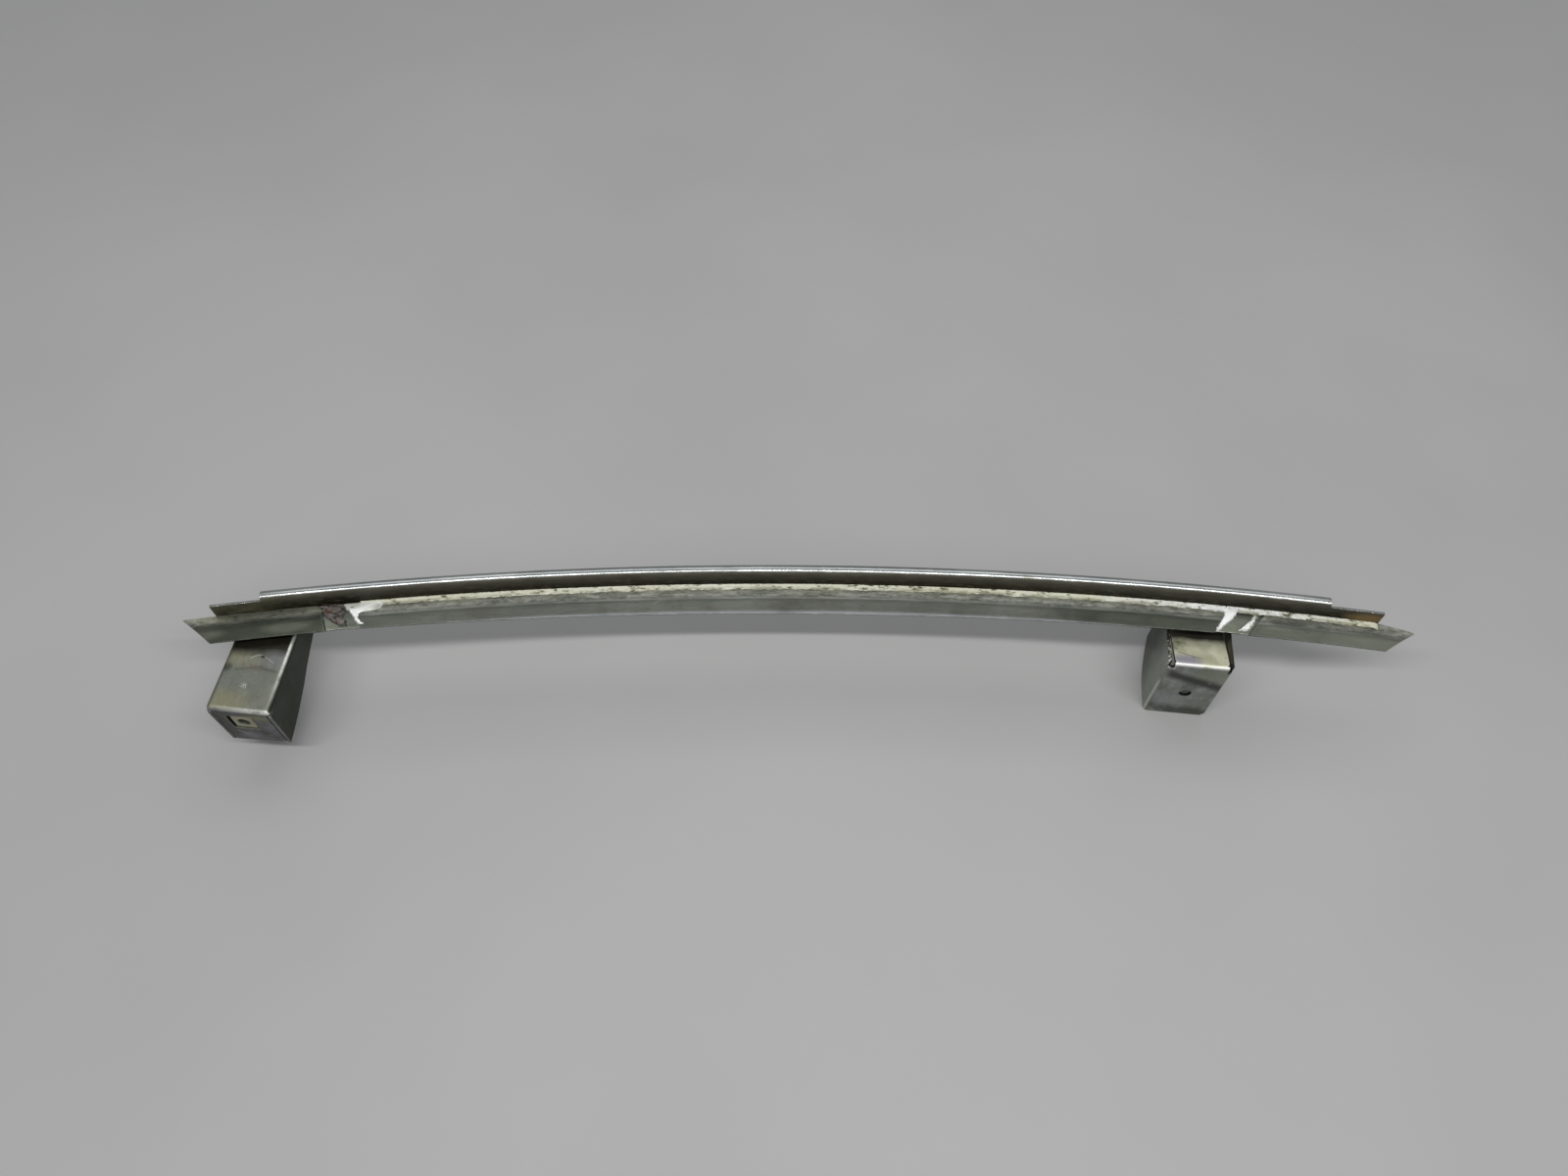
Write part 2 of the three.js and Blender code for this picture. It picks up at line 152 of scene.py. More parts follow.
class Surface:
    """Collects grids of points into one mesh; shared points are merged later."""

    def __init__(self):
        self.verts, self.faces = [], []

    def grid(self, rows, keep=lambda i, j: True, close=False):
        base, n = len(self.verts), len(rows[0])
        for row in rows:
            self.verts.extend(row)
        for i in range(len(rows) - 1):
            for j in range(n if close else n - 1):
                if keep(i, j):
                    a, b = base + i * n + j, base + i * n + (j + 1) % n
                    self.faces.append((a, b, b + n, a + n))


def arc(cx, cy, r, a0, a1, steps):
    """Points of an arc, angles in degrees, ends included."""
    out = []
    for k in range(steps + 1):
        a = math.radians(lerp(a0, a1, k / steps))
        out.append((cx + r * math.cos(a), cy + r * math.sin(a)))
    return out


def line(p, q, steps):
    return [tuple(lerp(a, b, k / steps) for a, b in zip(p, q)) for k in range(steps + 1)]


def piece(name, surface, body, material, node, sheet=0.0, bevel=0.0):
    """A mesh piece from datum millimetres. sheet is the thickness given to a middle surface."""
    mesh = bpy.data.meshes.new(name)
    mesh.from_pydata([(Vector(v) + ORIGIN) * 0.001 for v in surface.verts], [], surface.faces)
    bm = bmesh.new()
    bm.from_mesh(mesh)
    bmesh.ops.remove_doubles(bm, verts=bm.verts, dist=2e-6)
    bmesh.ops.recalc_face_normals(bm, faces=bm.faces)
    for f in bm.faces:
        f.smooth = True
    bm.to_mesh(mesh)
    bm.free()
    obj = bpy.data.objects.new(name, mesh)
    SCENE.collection.objects.link(obj)
    if sheet:
        m = obj.modifiers.new("thickness", "SOLIDIFY")
        m.thickness = sheet * 0.001
        m.offset = 0.0
        m.use_even_offset = True
        m.use_quality_normals = True
    if bevel:
        m = obj.modifiers.new("edges", "BEVEL")
        m.width = bevel * 0.001
        m.segments = 2
        m.limit_method = "ANGLE"
        m.angle_limit = math.radians(32)
        obj.modifiers.new("normals", "WEIGHTED_NORMAL").weight = 60
    mesh.materials.append(material)
    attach(obj, body)
    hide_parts(node)


# ---- materials


def fill(node, **values):
    for name, value in values.items():
        node.inputs[name].default_value = value


class Nodes:
    """A short way to write a node tree. Positions are millimetres in the datum frame."""

    def __init__(self, name):
        self.mat = bpy.data.materials.new(name)
        self.mat.use_nodes = True
        self.tree = self.mat.node_tree
        self.tree.nodes.clear()
        out = self.new("OutputMaterial")
        self.bsdf = self.new("BsdfPrincipled")
        self.link(self.bsdf.outputs[0], out.inputs[0])
        self.coord = self.new("TexCoord").outputs["Object"]
        self.geometry = self.new("NewGeometry")
        where = self.split(self.coord)
        self.x = self.fma(where[0], 1000.0, -ORIGIN.x)
        self.y = self.fma(where[1], 1000.0, -ORIGIN.y)
        self.z = self.fma(where[2], 1000.0, -ORIGIN.z)
        self.nx, self.ny, self.nz = self.split(self.geometry.outputs["Normal"])
        self.colour = None  # the colour so far; coat() adds to it

    def new(self, kind):
        return self.tree.nodes.new("ShaderNode" + kind)

    def link(self, a, b):
        self.tree.links.new(a, b)

    def put(self, socket, value):
        if isinstance(value, bpy.types.NodeSocket):
            self.link(value, socket)
        elif isinstance(value, (tuple, list)) and socket.type == "RGBA":
            socket.default_value = (*value, 1.0)
        else:
            socket.default_value = value

    def split(self, vector):
        s = self.new("SeparateXYZ")
        self.link(vector, s.inputs[0])
        return tuple(s.outputs)

    def math(self, op, a, b=0.0, c=0.0, clamp=False):
        m = self.new("Math")
        m.operation = op
        m.use_clamp = clamp
        for socket, value in zip(m.inputs, (a, b, c)):
            self.put(socket, value)
        return m.outputs[0]

    def fma(self, a, b, c, clamp=False):
        return self.math("MULTIPLY_ADD", a, b, c, clamp)

    def add(self, a, b):
        return self.math("ADD", a, b)

    def abs(self, a):
        return self.math("ABSOLUTE", a)

    def times(self, *values):
        out = values[0]
        for v in values[1:]:
            out = self.math("MULTIPLY", out, v)
        return out

    def noise(self, scale, detail=4.0, rough=0.55, stretch=(1, 1, 1), shift=(0, 0, 0), distort=0.0,
            turn=0.0):
        m = self.new("Mapping")
        fill(m, Location=shift, Rotation=(0, 0, turn), Scale=stretch)
        self.link(self.coord, m.inputs[0])
        n = self.new("TexNoise")
        fill(n, Scale=scale, Detail=detail, Roughness=rough, Distortion=distort)
        self.link(m.outputs[0], n.inputs["Vector"])
        return n.outputs[0]

    def step(self, value, lo, hi):
        """0 below lo, 1 above hi (or the other way round), straight in between."""
        m = self.new("MapRange")
        self.put(m.inputs[0], value)
        m.inputs[1].default_value, m.inputs[2].default_value = (lo, hi) if lo < hi else (hi, lo)
        m.inputs[3].default_value, m.inputs[4].default_value = (0, 1) if lo < hi else (1, 0)
        return m.outputs[0]

    def cloud(self, lo, hi, *noise, **more):
        """Patches of noise: 0 where it is below lo, 1 where it is above hi."""
        return self.step(self.noise(*noise, **more), lo, hi)

    def band(self, value, lo, hi, soft):
        rise, fall = self.step(value, lo - soft, lo + soft), self.step(value, hi + soft, hi - soft)
        return self.times(rise, fall)

    def mix(self, fac, a, b, blend="MIX"):
        m = self.new("Mix")
        m.data_type = "RGBA"
        m.blend_type = blend
        m.clamp_factor = True
        self.put(m.inputs[0], fac)
        self.put(m.inputs[6], a)
        self.put(m.inputs[7], b)
        return m.outputs[2]

    def lay(self, base, tint, *masks):
        """The tint laid over base where all the masks hold; a number among them is its strength."""
        return self.mix(self.times(*masks), base, tint)

    def coat(self, tint, *masks):
        self.colour = self.lay(self.colour, tint, *masks)

    def shade(self, base, factor, mask):
        """base multiplied by the colour factor where the mask holds."""
        return self.mix(mask, base, self.mix(1.0, base, factor, "MULTIPLY"))

    def rail(self):
        """s, the distance outside the rail's datum arc."""
        y = self.fma(self.y, 1.0, RADIUS - SAGITTA)
        r = self.math("SQRT", self.add(self.times(self.x, self.x), self.times(y, y)))
        return self.fma(r, 1.0, -RADIUS)

    def along_rail(self):
        """From here on, textures run along the rail's curve; returns s."""
        s = self.rail()
        c = self.new("CombineXYZ")
        for socket, value in zip(c.inputs, (self.x, s, self.z)):
            self.put(socket, self.times(value, 0.001))
        self.coord = c.outputs[0]
        return s

    def bracket(self, b):
        dx, dy = self.fma(self.x, 1.0, -b.x), self.fma(self.y, 1.0, -b.y)
        u = self.math("SUBTRACT", self.times(dx, COS), self.times(dy, SIN))
        v = self.add(self.times(dx, SIN), self.times(dy, COS))
        return u, v

    def blob(self, a, b, ca, cb, ra, rb, ragged=0.5, grain=110.0, soft=0.8):
        """A soft spot around (ca, cb) in the plane of sockets a and b, with an uneven outline."""
        da, db = self.fma(a, 1 / ra, -ca / ra), self.fma(b, 1 / rb, -cb / rb)
        d = self.math("SQRT", self.add(self.times(da, da), self.times(db, db)))
        rag = self.noise(grain, 4, 0.6, shift=(ca, cb, ra))
        d = self.add(d, self.fma(rag, ragged, -0.5 * ragged))
        return self.step(d, 1.0 + soft / 2, 1.0 - soft / 2)

    def stroke(self, a, b, p, q, width):
        """A straight scratch from p to q in the plane of sockets a and b."""
        length = math.hypot(q[0] - p[0], q[1] - p[1])
        ca, cb = (q[0] - p[0]) / length, (q[1] - p[1]) / length
        da, db = self.fma(a, 1.0, -p[0]), self.fma(b, 1.0, -p[1])
        along = self.add(self.times(da, ca), self.times(db, cb))
        across = self.abs(self.math("SUBTRACT", self.times(da, cb), self.times(db, ca)))
        return self.times(self.step(across, width, 0.3 * width), self.band(along, 0, length, 0.2))

    def strokes(self, a, b, *rows):
        return self.any(*(self.stroke(a, b, *row) for row in rows))

    def blobs(self, a, b, *rows):
        return self.any(*(self.blob(a, b, *row) for row in rows))

    def any(self, *masks):
        out = masks[0]
        for m in masks[1:]:
            out = self.math("MAXIMUM", out, m)
        return out

    def edge(self, radius, gain):
        """Mask of the piece's sharp edges, from the rounded normal."""
        b = self.new("Bevel")
        b.samples = 4
        fill(b, Radius=radius)
        d = self.new("VectorMath")
        d.operation = "DOT_PRODUCT"
        self.link(b.outputs[0], d.inputs[0])
        self.link(self.geometry.outputs["Normal"], d.inputs[1])
        return self.fma(d.outputs["Value"], -gain, gain, clamp=True)

    def scratches(self, angle, scale, width, shift):
        """Thin broken lines: a stretched noise cut to a narrow band."""
        lines = self.noise(scale, 1.0, 0.5, (0.05, 1, 1), shift, turn=angle)
        d = self.abs(self.fma(lines, 1.0, -0.5))
        return self.times(self.step(d, width, 0.0), self.cloud(0.55, 0.66, 90, 2, shift=shift))

    def finish(self, metallic, roughness, height, strength=0.25, distance=0.0004):
        looks = {"Base Color": self.colour, "Metallic": metallic, "Roughness": roughness}
        for name, value in looks.items():
            self.put(self.bsdf.inputs[name], value)
        b = self.new("Bump")
        fill(b, Strength=strength, Distance=distance)
        self.link(height, b.inputs["Height"])
        self.link(b.outputs[0], self.bsdf.inputs["Normal"])
        return self.mat


def zinc_skin(n, dark, light, warm, grain=(1, 1, 1), stains=0.5):
    """Mottled, stained zinc plating as the colour so far; returns roughness and bump height."""
    n.colour = n.mix(n.cloud(0.36, 0.62, 34, 5, 0.6), dark, light)
    mottle = n.cloud(0.42, 0.7, 260, 4, 0.65, grain, (0.3, 0.1, 0.7))
    n.coat(tuple(c * 1.35 for c in light), mottle, 0.4)
    stain = n.cloud(0.5, 0.7, 48, 6, 0.62, shift=(4, 2, 1), distort=0.6)
    n.coat(warm, stain, stains)
    specks = n.cloud(0.64, 0.72, 950, 2, 0.5, shift=(2, 9, 5))
    n.coat((0.035, 0.032, 0.022), specks, 0.45)
    scratch = n.any(n.scratches(0.5, 700, 0.012, (1, 3, 2)),
        n.scratches(-0.9, 520, 0.01, (5, 1, 8)))
    n.coat((0.5, 0.51, 0.48), scratch, 0.4)
    rough = n.fma(n.noise(150, 5, 0.6, grain), 0.25, 0.28)
    rough = n.add(rough, n.times(stain, 0.1))
    height = n.fma(n.noise(1400, 3, 0.5, grain), 0.3, n.noise(70, 3))
    height = n.math("SUBTRACT", height, n.times(scratch, 0.25))
    return rough, height


def worn(n, rough, wear):
    """Bright, smoother metal along broken lengths of every edge."""
    edges = n.times(n.edge(0.0005, 5.0), n.cloud(0.3, 0.6, 420, 3), wear)
    n.coat((0.72, 0.73, 0.68), edges)
    return n.math("SUBTRACT", rough, n.times(edges, 0.1))


def strip_material():
    n = Nodes("strip_zinc")
    s = n.along_rail()
    rough, height = zinc_skin(n, (0.138, 0.145, 0.128), (0.19, 0.196, 0.175), (0.155, 0.15, 0.095),
        (0.12, 1, 1), 0.35)
    # the flat next to the seam: paler, speckled, with a smear of sealant against the web
    upper = n.step(s, CREASE - 0.2, CREASE + 0.8)
    mottled = n.mix(n.cloud(0.4, 0.62, 560, 6, 0.78, (0.3, 1, 1), (7, 1, 3)), (0.09, 0.094, 0.078),
        (0.42, 0.425, 0.37))
    n.coat(mottled, upper, 0.72)
    smear = n.cloud(0.42, 0.62, 230, 6, 0.7, (0.22, 1, 1), (1, 4, 6))
    n.coat((0.46, 0.46, 0.33), n.step(s, -5.4, -1.6), smear, 0.8)
    grit = n.cloud(0.6, 0.68, 650, 3, 0.6, (0.5, 1, 1), (9, 2, 2))
    n.coat((0.05, 0.052, 0.028), n.step(s, -4.6, -3.0), grit, 0.75)
    # a bright rubbed crease; below it painted shade darkens the lip, most of all on the left strip
    right_of_torn = n.step(n.x, LEFT_STRIP, -190.0)
    on_left_strip = n.step(n.x, -200.0, LEFT_STRIP)
    rubbed = n.times(n.band(s, CREASE - 0.22, CREASE + 0.12, 0.22),
        n.cloud(0.4, 0.6, 60, 4, 0.6, (0.4, 1, 1)), right_of_torn)
    # painted shade in a band along the crease
    near = n.times(n.band(s, CREASE - 0.3, CREASE + 1.3, 0.5), right_of_torn)
    n.colour = n.shade(n.colour, (0.66, 0.66, 0.66), near)
    n.coat((0.5, 0.52, 0.48), rubbed, 0.3)
    shade = n.mix(n.band(n.x, 118, 190, 14), (0.27, 0.272, 0.264), (0.075, 0.077, 0.07))
    shade = n.mix(n.step(n.x, 190.0, 206.0), shade, (0.46, 0.47, 0.44))
    shade = n.mix(on_left_strip, shade, (0.07, 0.073, 0.06))
    lip = n.any(n.step(s, CREASE + 0.1, CREASE - 0.9),
        n.times(n.step(s, -2.8, -5.6), on_left_strip, 0.85))
    n.colour = n.shade(n.colour, shade, lip)
    # mid-rail the lower edge carries a pale painted highlight
    mid = n.step(n.abs(n.x), 170.0, 120.0)
    n.coat((0.12, 0.125, 0.13), n.step(s, -12.0, -12.8), mid, 0.7)
    # soft dark clouds and light spots, and greener metal towards the ends
    ends = n.step(n.abs(n.x), 105.0, 190.0)
    n.coat((0.03, 0.036, 0.024), ends, lip, 0.4)
    clouds = n.blobs(n.x, s, (150, -10.5, 24, 4.2), (214, -4.6, 9, 2.6),
        (-214, -11.6, 12, 1.6), (176, -12.0, 12, 1.6))
    n.coat((0.03, 0.034, 0.024), clouds, 0.5)
    lights = n.blobs(n.x, s, (-220, -8.8, 9, 2.2), (205.5, -5.4, 1.5, 0.8), (248, -8, 9, 4),
        (-255, -8, 8, 3), (-232, -1.4, 26, 1.6, 0.9))
    n.coat((0.08, 0.084, 0.064), lights, 0.5)
    rough = worn(n, rough, 0.35)
    return n.finish(0.78, rough, height)


def channel_material():
    """Clean bright curl on top, grime and painted shade darken the web, zinc everywhere else."""
    n = Nodes("channel_zinc")
    s = n.along_rail()
    leg_rough, _ = zinc_skin(n, (0.11, 0.125, 0.105), (0.17, 0.185, 0.155), (0.16, 0.15, 0.09),
        (0.2, 1, 1))
    bright = n.mix(n.cloud(0.36, 0.62, 40, 5, 0.6), (0.27, 0.285, 0.285), (0.4, 0.415, 0.41))
    streak = n.cloud(0.45, 0.62, 700, 2, 0.5, (0.04, 1, 1))
    bright = n.lay(bright, (0.5, 0.52, 0.51), streak, 0.2)
    spots = n.cloud(0.57, 0.68, 260, 6, 0.7, (0.4, 1, 1), (3, 1, 2))
    bright = n.lay(bright, (0.16, 0.15, 0.11), spots, 0.6)
    high = n.step(n.z, 37.0, 38.5)
    # below the crease the leg is darkened with painted shade, as the strips' lip is
    leg = n.shade(n.colour, (0.42, 0.42, 0.4), n.step(s, CREASE + 0.1, CREASE - 0.9))
    n.colour = n.mix(high, leg, bright)
    rough = n.mix(high, leg_rough, n.fma(n.noise(300, 3), 0.1, 0.17))
    # grime and painted shade: faces turned forwards and down get the dark brown
    front = n.fma(n.ny, -1.0, 0.0)
    ragged = n.fma(n.noise(380, 4, 0.65, (0.35, 1, 1)), 0.3, -0.15)
    grime = n.step(n.add(front, ragged), 0.42, 0.66)
    depth = n.step(n.z, 43.5, 38.0)
    brown = n.mix(n.cloud(0.35, 0.65, 75, 5, 0.6, (0.3, 1, 1)), (0.006, 0.0055, 0.003),
        (0.018, 0.0155, 0.008))
    brown = n.mix(n.cloud(0.5, 0.68, 520, 5, 0.7, (0.4, 1, 1), (2, 2, 8)), brown,
        (0.055, 0.05, 0.03))
    upper = n.mix(n.noise(300, 4, 0.6, (0.3, 1, 1)), (0.03, 0.026, 0.015), (0.12, 0.115, 0.09))
    brown = n.mix(depth, upper, brown)
    # the bare ends of the web are khaki on the left and rusty on the right
    left = n.step(n.x, -222.0, -236.0)
    brown = n.lay(brown, (0.11, 0.105, 0.065), left, n.cloud(0.3, 0.6, 140, 5, 0.6), 0.7)
    right = n.blob(n.x, n.z, 246, 37.2, 9, 3.4)
    brown = n.lay(brown, (0.2, 0.135, 0.06), right, 0.8)
    rust = n.cloud(0.6, 0.7, 210, 4, 0.6, (0.5, 1, 1), (8, 3, 1))
    brown = n.lay(brown, (0.12, 0.05, 0.018), rust, n.step(n.z, 39.0, 36.0), 0.5)
    n.coat(brown, grime)
    rough = worn(n, rough, 0.7)
    height = n.fma(n.noise(1200, 3, 0.5, (0.03, 1, 1)), 0.2,
        n.times(n.noise(200, 4), n.fma(high, -0.97, 1.0)))
    metallic = n.fma(grime, -0.8, 0.88)
    n.bsdf.inputs["Specular IOR Level"].default_value = 0.14
    return n.finish(metallic, n.fma(grime, 0.22, rough), height, 0.22, 0.0003)


def left_bracket_material():
    n = Nodes("bracket_zinc_left")
    u, v = n.bracket(LEFT)
    rough, height = zinc_skin(n, (0.15, 0.16, 0.135), (0.225, 0.232, 0.2), (0.2, 0.185, 0.11),
        (1, 1, 1), 0.4)
    front = n.step(n.nz, 0.5, 0.8)
    khaki = n.any(n.blob(u, v, 7, 4, 9, 5, 0.9, 70, 1.2),
        n.times(n.blob(u, v, 6, 24.5, 7, 3.6, 0.9, 70, 1.2), 0.5))
    n.coat((0.3, 0.29, 0.175), khaki, front, 0.6)
    streaks = n.cloud(0.45, 0.7, 420, 4, 0.7, (1, 0.18, 1), (6, 2, 2))
    n.coat((0.1, 0.108, 0.09), streaks, front, 0.35)
    grey = n.blob(u, v, 13, 15, 13, 5.5, 0.4)
    n.coat((0.17, 0.19, 0.165), grey, front, 0.5)
    cold = n.blob(u, v, 22.5, 27, 5, 5, 0.3)
    n.coat((0.25, 0.25, 0.29), cold, front, 0.4)
    # painted shadow of the strips across the top of the front face, with a pit and a spot
    under = n.step(n.add(v, n.fma(n.noise(60, 3), 5.0, -2.5)), 25.6, 30.2)
    dark = n.any(n.times(n.blob(u, v, 2.2, 20, 2.0, 1.8), 0.6), n.blob(u, v, 15.6, 26.3, 0.9, 0.5),
        under)
    n.coat((0.016, 0.014, 0.007), dark, front, 0.93)
    # painted shade along the lower edge of the dent
    curve = n.strokes(u, v, ((5.9, 19.0), (15.3, 21.2), 1.0), ((15.0, 21.2), (24.6, 19.2), 1.0))
    n.coat((0.07, 0.068, 0.058), curve, front, n.noise(200, 4), 0.7)
    rusty = n.blob(u, v, 13.5, 21.5, 5, 1.8)
    n.coat((0.19, 0.09, 0.045), rusty, n.cloud(0.48, 0.62, 500, 4, 0.7), front, 0.6)
    marks = n.strokes(u, v, ((10.9, 12.6), (13.0, 11.9), 0.16), ((11.2, 11.2), (13.6, 12.4), 0.14),
        ((12.4, 10.4), (12.0, 13.4), 0.14), ((13.3, 10.6), (12.9, 12.8), 0.18),
        ((10.4, 11.6), (12.0, 11.1), 0.12), ((10.6, 25.2), (13.6, 27.0), 0.2),
        ((13.6, 27.0), (15.2, 26.9), 0.16), ((16.4, 26.4), (21.5, 23.5), 0.12))
    n.coat((0.62, 0.62, 0.56), marks, front, 0.7)
    # painted shade darkens the side walls, which are greener; the flap is stained violet-grey
    side = n.step(n.nx, 0.45, 0.85)
    wall = n.mix(n.cloud(0.35, 0.65, 40, 4, 0.6), (0.016, 0.02, 0.012), (0.033, 0.038, 0.025))
    n.coat(wall, side, 0.93)
    flap = n.times(n.step(n.ny, -0.75, -0.93), n.step(v, 2.0, 1.4))
    violet = n.mix(n.cloud(0.35, 0.65, 90, 5, 0.65), (0.07, 0.067, 0.07), (0.19, 0.18, 0.2))
    violet = n.mix(n.blob(u, n.z, 20, 23, 6, 3.2), violet, (0.2, 0.2, 0.12))
    violet = n.lay(violet, (0.03, 0.034, 0.024), n.blob(u, n.z, 2, 14, 5, 12), 0.8)
    lines = n.any(
        n.strokes(u, n.z, ((2.5, 12.2), (9.9, 7.6), 0.4), ((1.0, 24.6), (23.4, 24.9), 0.45),
        ((17.6, 22.4), (17.9, 10.6), 0.3), ((2.0, 2.0), (2.2, 22.0), 0.5)),
        n.times(n.cloud(0.55, 0.66, 260, 5, 0.7, shift=(3, 3, 3)), 0.7))
    violet = n.lay(violet, (0.012, 0.011, 0.01), lines, 0.8)
    violet = n.mix(n.stroke(u, n.z, (5.8, 8.0), (10.1, 4.7), 0.25), violet, (0.5, 0.5, 0.46))
    n.coat(violet, flap, 0.92)
    rough = worn(n, rough, 0.9)
    # the fold and the right-hand bend carry painted highlights
    fold = n.times(n.band(v, 0.0, 1.1, 0.25), n.band(n.z, 26.6, 29.0, 0.4), n.step(u, -4.0, 21.0))
    bend = n.times(n.band(u, 25.4, 26.4, 0.35), n.step(v, 3.0, 30.0), n.step(n.z, 27.2, 27.8))
    bright = n.times(n.any(fold, bend), n.cloud(0.2, 0.5, 260, 4, 0.6))
    n.coat((0.92, 0.92, 0.86), bright, 0.9)
    return n.finish(0.85, rough, height)


def right_bracket_material():
    n = Nodes("bracket_zinc_right")
    u, v = n.bracket(RIGHT)
    rough, height = zinc_skin(n, (0.14, 0.155, 0.13), (0.2, 0.215, 0.185), (0.18, 0.17, 0.11),
        (1, 1, 1), 0.35)
    flap = n.step(n.ny, -0.7, -0.9)
    pale = n.mix(n.cloud(0.4, 0.6, 100, 6, 0.7, (1, 1, 0.6)), (0.15, 0.162, 0.138),
        (0.34, 0.35, 0.33))
    pale = n.lay(pale, (0.27, 0.295, 0.22), n.blob(u, n.z, 23, 22, 10, 6.5, 0.2), 0.7)
    # a painted shade band runs slantwise across the flap
    across = n.add(n.z, n.fma(u, 0.42, n.fma(n.noise(50, 3), 3.0, -1.5)))
    band = n.times(n.band(across, 19.2, 25.2, 1.8), n.step(u, 0.0, 3.0),
        n.cloud(0.2, 0.42, 180, 5, 0.7))
    pale = n.lay(pale, (0.022, 0.02, 0.021), band, 0.92)
    pale = n.lay(pale, (0.08, 0.088, 0.06), n.blob(u, n.z, 20, -13.5, 12, 3.0), 0.7)
    pale = n.lay(pale, (0.33, 0.33, 0.37), n.blob(u, n.z, 6, -2, 7, 6, 0.8), 0.4)
    dirt = n.cloud(0.4, 0.52, 150, 5, 0.7, shift=(2, 6, 1))
    pale = n.lay(pale, (0.05, 0.052, 0.04), n.step(n.z, -6.0, -11.0), dirt, 0.7)
    n.coat(pale, flap, 0.9)
    # painted shade in the flap's hole
    hole_shade = n.blob(u, n.z, *HOLE, 2.72, 2.72, 0.06, 200, 0.06)
    n.coat((0.012, 0.012, 0.009), hole_shade, 0.95)
    # plate: khaki, speckled, a painted highlight on its fold, deep painted shade under the strips
    plate = n.times(n.step(n.nz, 0.5, 0.8), n.step(n.z, 15.0, 17.0), n.band(u, 2.85, 26.25, 0.1))
    khaki = n.mix(n.cloud(0.35, 0.65, 110, 5, 0.65), (0.4, 0.4, 0.27), (0.58, 0.58, 0.43))
    khaki = n.mix(n.blob(u, v, 7, 2.6, 7, 3.0, 0.8), khaki, (0.3, 0.29, 0.32))
    pits = n.any(n.cloud(0.6, 0.68, 700, 4, 0.7), n.times(n.blob(u, v, 5, 11.5, 4, 3.5),
        n.cloud(0.42, 0.58, 300, 5, 0.7)))
    khaki = n.lay(khaki, (0.1, 0.09, 0.055), pits, 0.7)
    marks = n.strokes(u, v, ((4.9, 7.6), (13.6, 4.6), 0.35), ((10.5, 5.3), (15.5, 4.7), 0.25))
    khaki = n.lay(khaki, (0.11, 0.1, 0.085), marks, 0.7)
    under = n.step(n.add(v, n.fma(n.noise(70, 3), 5.0, -2.5)), 13.6, 16.4)
    khaki = n.lay(khaki, (0.012, 0.01, 0.006), under, 0.97)
    n.coat(khaki, plate, 0.95)
    # outside, the left wall is grey-green; the right wall is brown inside and dark outside
    left = n.step(u, 4.0, 2.0)
    side = n.step(n.abs(n.nx), 0.6, 0.9)
    wall = n.mix(n.cloud(0.35, 0.65, 36, 4, 0.6), (0.25, 0.275, 0.23), (0.37, 0.39, 0.34))
    wall = n.mix(n.step(v, 8.0, 20.0), wall, (0.075, 0.082, 0.07))
    n.coat(wall, side, left, 0.85)
    # painted shade darkens the right wall lower down
    brown = n.mix(n.step(n.z, 22.0, 28.0), (0.03, 0.026, 0.017), (0.13, 0.115, 0.075))
    right = n.times(n.step(u, 24.0, 26.2), n.step(n.z, 12.0, 19.0))
    n.coat(brown, side, right, 0.9)
    rough = worn(n, rough, 0.35)
    # painted gap shadow on the walls' front edges, pale in patches on the left
    rims = n.times(n.step(n.nz, 0.4, 0.7), n.step(n.z, 20.0, 22.0),
        n.any(n.step(u, 2.9, 2.7), n.step(u, 26.2, 26.4)))
    rim = n.lay((0.03, 0.028, 0.018), (0.33, 0.33, 0.26), left, n.cloud(0.5, 0.6, 500, 4, 0.6))
    n.coat(rim, rims)
    # the relief cuts at the plate's corners are painted dark as shade, in a pale ring
    ring = n.blob(u, v, 1.9, 1.2, 2.1, 2.1, 0.1, 200, 0.2)
    hole = n.any(n.blob(u, v, 2.1, 1.5, 1.35, 1.5, 0.1, 200, 0.2),
        n.blob(u, v, 26.6, 1.3, 1.3, 1.7, 0.1, 200, 0.2))
    corner = n.step(n.z, 24.2, 25.0)
    n.coat((0.55, 0.54, 0.5), ring, corner, 0.8)
    n.coat((0.01, 0.008, 0.006), hole, corner, 0.97)
    # painted highlights on the plate's fold and the flap's left bend
    fold = n.times(n.band(v, 0.1, 1.3, 0.3), n.step(n.z, 27.0, 27.7), n.cloud(0.25, 0.45, 200, 3),
        n.band(u, 2.9, 26.2, 0.1))
    bend = n.times(n.band(u, -0.1, 0.7, 0.3), n.step(v, 2.0, 1.2), n.step(n.z, 15.0, 10.0))
    n.coat((0.8, 0.8, 0.76), n.any(fold, n.times(bend, 0.6)), 0.8)
    return n.finish(n.fma(plate, -0.4, 0.82), rough, height)


def nut_material():
    n = Nodes("nut_steel")
    u, v = n.bracket(LEFT)
    rough, height = zinc_skin(n, (0.26, 0.26, 0.18), (0.38, 0.38, 0.28), (0.3, 0.2, 0.09))
    rough = worn(n, rough, 0.5)
    # painted shade darkens the threaded bore
    bore = n.blob(u, n.z, *BORE, 2.75, 2.75, 0.1, 200, 0.25)
    bore_shade = n.mix(n.noise(300, 3), (0.008, 0.008, 0.006), (0.03, 0.028, 0.02))
    n.coat(bore_shade, bore, 0.95)
    # painted shade on the nut behind the flap
    n.coat((0.03, 0.028, 0.02), n.step(v, 1.3, 1.7), 0.9)
    return n.finish(n.fma(bore, -0.6, 0.7), n.fma(bore, 0.2, rough), height)


def plain_zinc(name, dark, light, warm, wear):
    n = Nodes(name)
    rough, height = zinc_skin(n, dark, light, warm)
    rough = worn(n, rough, wear)
    return n.finish(0.82, rough, height)


